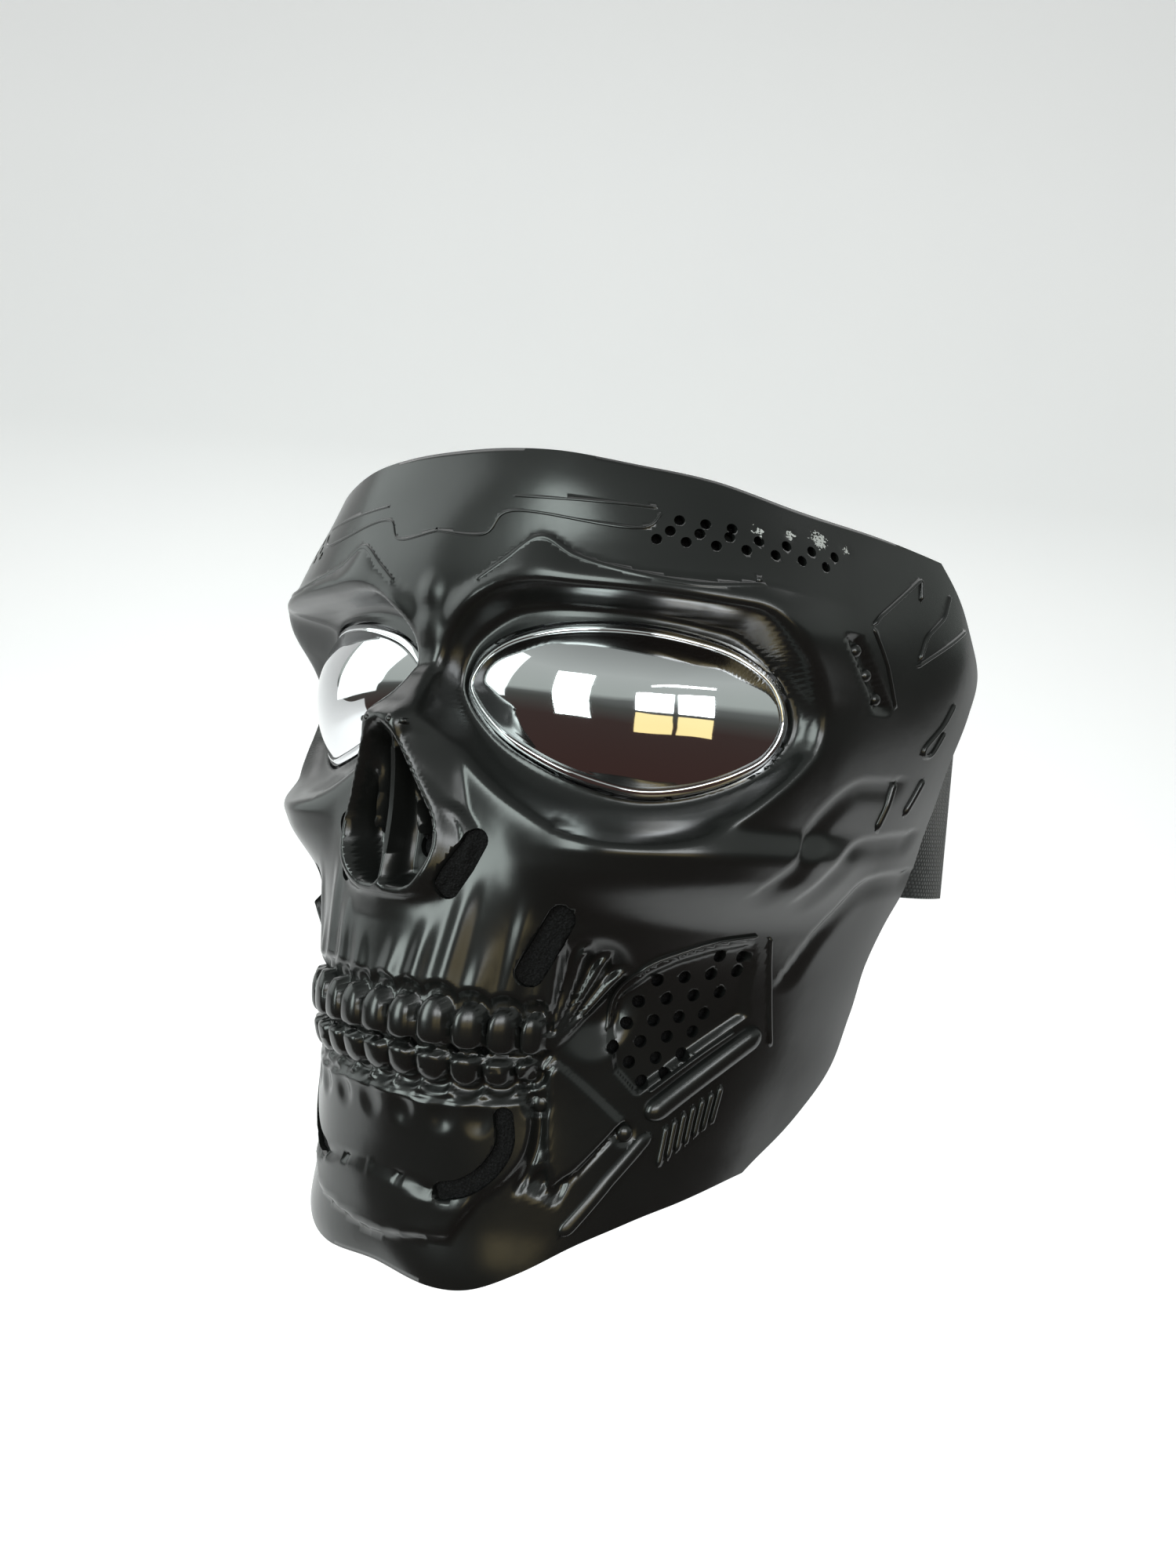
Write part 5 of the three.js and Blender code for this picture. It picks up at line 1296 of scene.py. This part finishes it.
def strap_material():
    g = Graph("charcoal_woven_elastic")
    uv = g.node("ShaderNodeUVMap", {"uv_map": "weave"}).outputs["UV"]
    split = g.node("ShaderNodeSeparateXYZ", Vector=uv)
    along, across = split.outputs["X"], split.outputs["Y"]
    rib = g.math("ABSOLUTE", g.math("SINE", g.math("MULTIPLY", across, math.pi / RIB_PITCH)))
    rib_index = g.math("FLOOR", g.math("MULTIPLY", across, 1 / RIB_PITCH))
    shift = g.math("MULTIPLY", rib_index, math.pi / 2)
    phase = g.math("ADD", g.math("MULTIPLY", along, math.pi / PICK_PITCH), shift)
    pick = g.math("ABSOLUTE", g.math("SINE", phase))
    where = g.position()
    fuzz = g.noise(where, 1800.0, 4.0, 0.7)
    # Height of the weave, also used below to paint shade into its hollows
    weave_height_and_shade = g.math("MULTIPLY", rib, pick)
    height = g.math("ADD", g.math("MULTIPLY", weave_height_and_shade, 0.8), g.math("MULTIPLY", fuzz, 0.5))
    yarns = g.noise(where, 700.0, 4.0, 0.7)
    melange = g.ramp(yarns, (0.36, (0.018, 0.021, 0.022)), (0.66, (0.066, 0.073, 0.075)))
    # Base colour darkest in the hollows between the yarns and lighter on their tops: painted shade in the
    # weave
    g.set("Base Color", g.mixed(weave_height_and_shade, (0.012, 0.0135, 0.0145), melange))
    g.set("Roughness", g.scaled(fuzz, 0.78, 0.98))
    g.set("Normal", g.bump(height, 0.00035))
    g.set("Sheen Weight", 0.25)
    g.set("Sheen Roughness", 0.5)
    return g.material


def anchor_material():
    g = Graph("plain_black_moulding")
    where = g.position()
    cloudy = g.noise(where, 60.0)
    g.set("Base Color", g.mixed(cloudy, (0.012, 0.012, 0.013), (0.020, 0.020, 0.021)))
    g.set("Roughness", g.scaled(g.noise(where, 150.0), 0.40, 0.55))
    g.set("Normal", g.bump(g.noise(where, 700.0), 0.0001))
    return g.material


def stage_material():
    g = Graph("pale_floor")
    cloudy = g.noise(g.position(), 3.0)
    g.set("Base Color", g.mixed(cloudy, (0.80, 0.80, 0.81), (0.84, 0.84, 0.84)))
    g.set("Roughness", 0.9)
    g.set("Specular IOR Level", 0.1)
    g.set("Emission Color", (1.0, 1.0, 1.0, 1.0))
    g.set("Emission Strength", 0.34)
    return g.material


def paint(piece, material):
    piece.data.materials.clear()
    piece.data.materials.append(material)


def finish_foam(pad):
    paint(pad, foam_finish)
    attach(pad, "root")
    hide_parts(pad.name.replace("_soft", ""))


# Build the pieces
black, silver, foam_finish, elastic, moulding = (
    shell_material(), mirror_material(), foam_material(), strap_material(), anchor_material())

shell = build_shell()
paint(shell, black)
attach(shell, "root")
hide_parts("mask_shell")

for side in ("left", "right"):
    lens = build_lens(side)
    paint(lens, silver)
    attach(lens, "root")
    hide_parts(f"lens_{side}")
    pads = [
        build_foam("foam_nose", side, NOSE_SLOT, NOSE_SLOT_WIDTH, seed=3),
        build_foam("foam_cheek", side, CHEEK_SLOT, CHEEK_SLOT_WIDTH, seed=5),
        build_foam("foam_chin", side, CHIN_SLOT, CHIN_SLOT_WIDTH, seed=7),
        build_foam("foam_nostril", side, width=NOSTRIL_DIAMETER, centre=spots([NOSTRIL])[0], seed=9),
    ]
    for name, region in (("foam_brow", BROW_BACKING), ("foam_grille", GRILLE_BACKING)):
        pads.append(build_backing(f"{name}_{side}", region, 11))
    for pad in pads:
        finish_foam(pad)
    paint(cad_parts[f"strap_anchor_{side}"], moulding)

finish_foam(build_backing("foam_mouth", MOUTH_BACKING, 13))

strap = build_strap()
paint(strap, elastic)
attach(strap, "root")
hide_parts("strap")

# Camera at the photograph's place
CAMERA = {
    "azimuth": 36.21, "elevation": 0.70, "roll": 5.06, "distance": 0.33697, "right": 0.02140, "up": 0.00865,
}
TARGET = Vector((0.0, -0.050, -0.035))
FOCAL_PIXELS, IMAGE_HEIGHT, SENSOR = 1518.4, 2000.0, 36.0


def add_camera():
    a, e, r = (math.radians(CAMERA[key]) for key in ("azimuth", "elevation", "roll"))
    back = Vector((math.sin(a) * math.cos(e), -math.cos(a) * math.cos(e), math.sin(e)))
    level = Vector((math.cos(a), math.sin(a), 0.0))
    upright = back.cross(level)
    right = math.cos(r) * level + math.sin(r) * upright
    up = -math.sin(r) * level + math.cos(r) * upright
    eye = TARGET + back * CAMERA["distance"] + right * CAMERA["right"] + up * CAMERA["up"]
    camera = bpy.data.objects.new("camera", bpy.data.cameras.new("camera"))
    camera.data.sensor_width = SENSOR
    camera.data.lens = FOCAL_PIXELS * SENSOR / IMAGE_HEIGHT
    camera.data.clip_start = 0.01
    camera.data.clip_end = 50
    turned = Matrix((right, up, back)).transposed().to_4x4()
    camera.matrix_world = Matrix.Translation(eye) @ turned
    bpy.context.scene.collection.objects.link(camera)
    bpy.context.scene.camera = camera


add_camera()


LIT_POINT = Vector((0, -0.04, -0.04))


def add_light(name, azimuth, elevation, distance, width, height, power, colour=(1, 1, 1)):
    a, e = math.radians(azimuth), math.radians(elevation)
    towards = Vector((math.sin(a) * math.cos(e), -math.cos(a) * math.cos(e), math.sin(e)))
    lamp = bpy.data.lights.new(name, "AREA")
    lamp.shape = "RECTANGLE"
    lamp.size, lamp.size_y = width, height
    lamp.energy = power
    lamp.color = colour
    made = bpy.data.objects.new(name, lamp)
    made.location = LIT_POINT + towards * distance
    made.rotation_euler = towards.to_track_quat("Z", "Y").to_euler()
    bpy.context.scene.collection.objects.link(made)


for column, azimuth in enumerate((36, 56)):
    add_light(f"window_low_{column}", azimuth, -8, 1.3, 0.40, 0.36, 0.6, (1.0, 0.80, 0.36))
    add_light(f"window_high_{column}", azimuth, 10, 1.3, 0.40, 0.36, 3.4, (0.95, 0.99, 1.0))
add_light("tube", 50, 26, 1.5, 0.80, 0.04, 1.0, (0.96, 1.0, 1.0))
add_light("front_soft", -6, 10, 1.5, 0.50, 1.1, 13.0, (0.88, 1.0, 0.96))
add_light("left_soft", -62, 18, 1.5, 1.0, 1.1, 5.0, (0.92, 1.0, 0.98))
add_light("backdrop_light", 216, 60, 1.6, 2.6, 1.6, 20.0)


# Colours of the room from below to above
SKY = [
    (0.0, (0.070, 0.035, 0.030)), (0.40, (0.075, 0.050, 0.045)), (0.50, (0.110, 0.115, 0.105)),
    (0.56, (0.20, 0.215, 0.205)), (0.60, (0.62, 0.68, 0.64)), (0.76, (0.70, 0.75, 0.72)),
    (1.0, (0.26, 0.28, 0.27)),
]


def add_world():
    world = bpy.data.worlds.new("studio")
    world.use_nodes = True
    bpy.context.scene.world = world
    nodes, links = world.node_tree.nodes, world.node_tree.links
    nodes.clear()
    output, background, ramp, split, coordinates, shift = (nodes.new("ShaderNode" + kind) for kind in (
        "OutputWorld", "Background", "ValToRGB", "SeparateXYZ", "TexCoord", "MapRange"))
    links.new(coordinates.outputs["Generated"], split.inputs["Vector"])
    shift.inputs["From Min"].default_value = -1.0
    links.new(split.outputs["Z"], shift.inputs["Value"])
    links.new(shift.outputs["Result"], ramp.inputs["Fac"])
    set_stops(ramp.color_ramp, SKY)
    links.new(ramp.outputs["Color"], background.inputs["Color"])
    background.inputs["Strength"].default_value = 0.7
    links.new(background.outputs["Background"], output.inputs["Surface"])


add_world()


def add_stage():
    """A pale floor that curves up into a backdrop, square to the camera."""
    floor_z, near_end, wall, bend, top, half_width = -0.42, -0.10, 2.2, 1.7, 2.8, 3.6
    curve = [(wall - bend + bend * math.sin(t), floor_z + bend - bend * math.cos(t))
             for t in np.linspace(0, math.pi / 2, 24)]
    profile = [(near_end, floor_z)] + curve + [(wall, top)]
    turn = Matrix.Rotation(math.radians(CAMERA["azimuth"]), 4, "Z")
    points, faces = [], []
    for k, (y, z) in enumerate(profile):
        points += [tuple(turn @ Vector((x, y, z))) for x in (-half_width, half_width)]
        if k:
            faces.append((2 * k - 2, 2 * k - 1, 2 * k + 1, 2 * k))
    floor = new_object("pale_stage", points, faces, smooth_angle=60)
    paint(floor, stage_material())


add_stage()

scene = bpy.context.scene
scene.view_settings.view_transform = "Standard"
scene.view_settings.look = "None"
scene.view_settings.exposure = 0.0
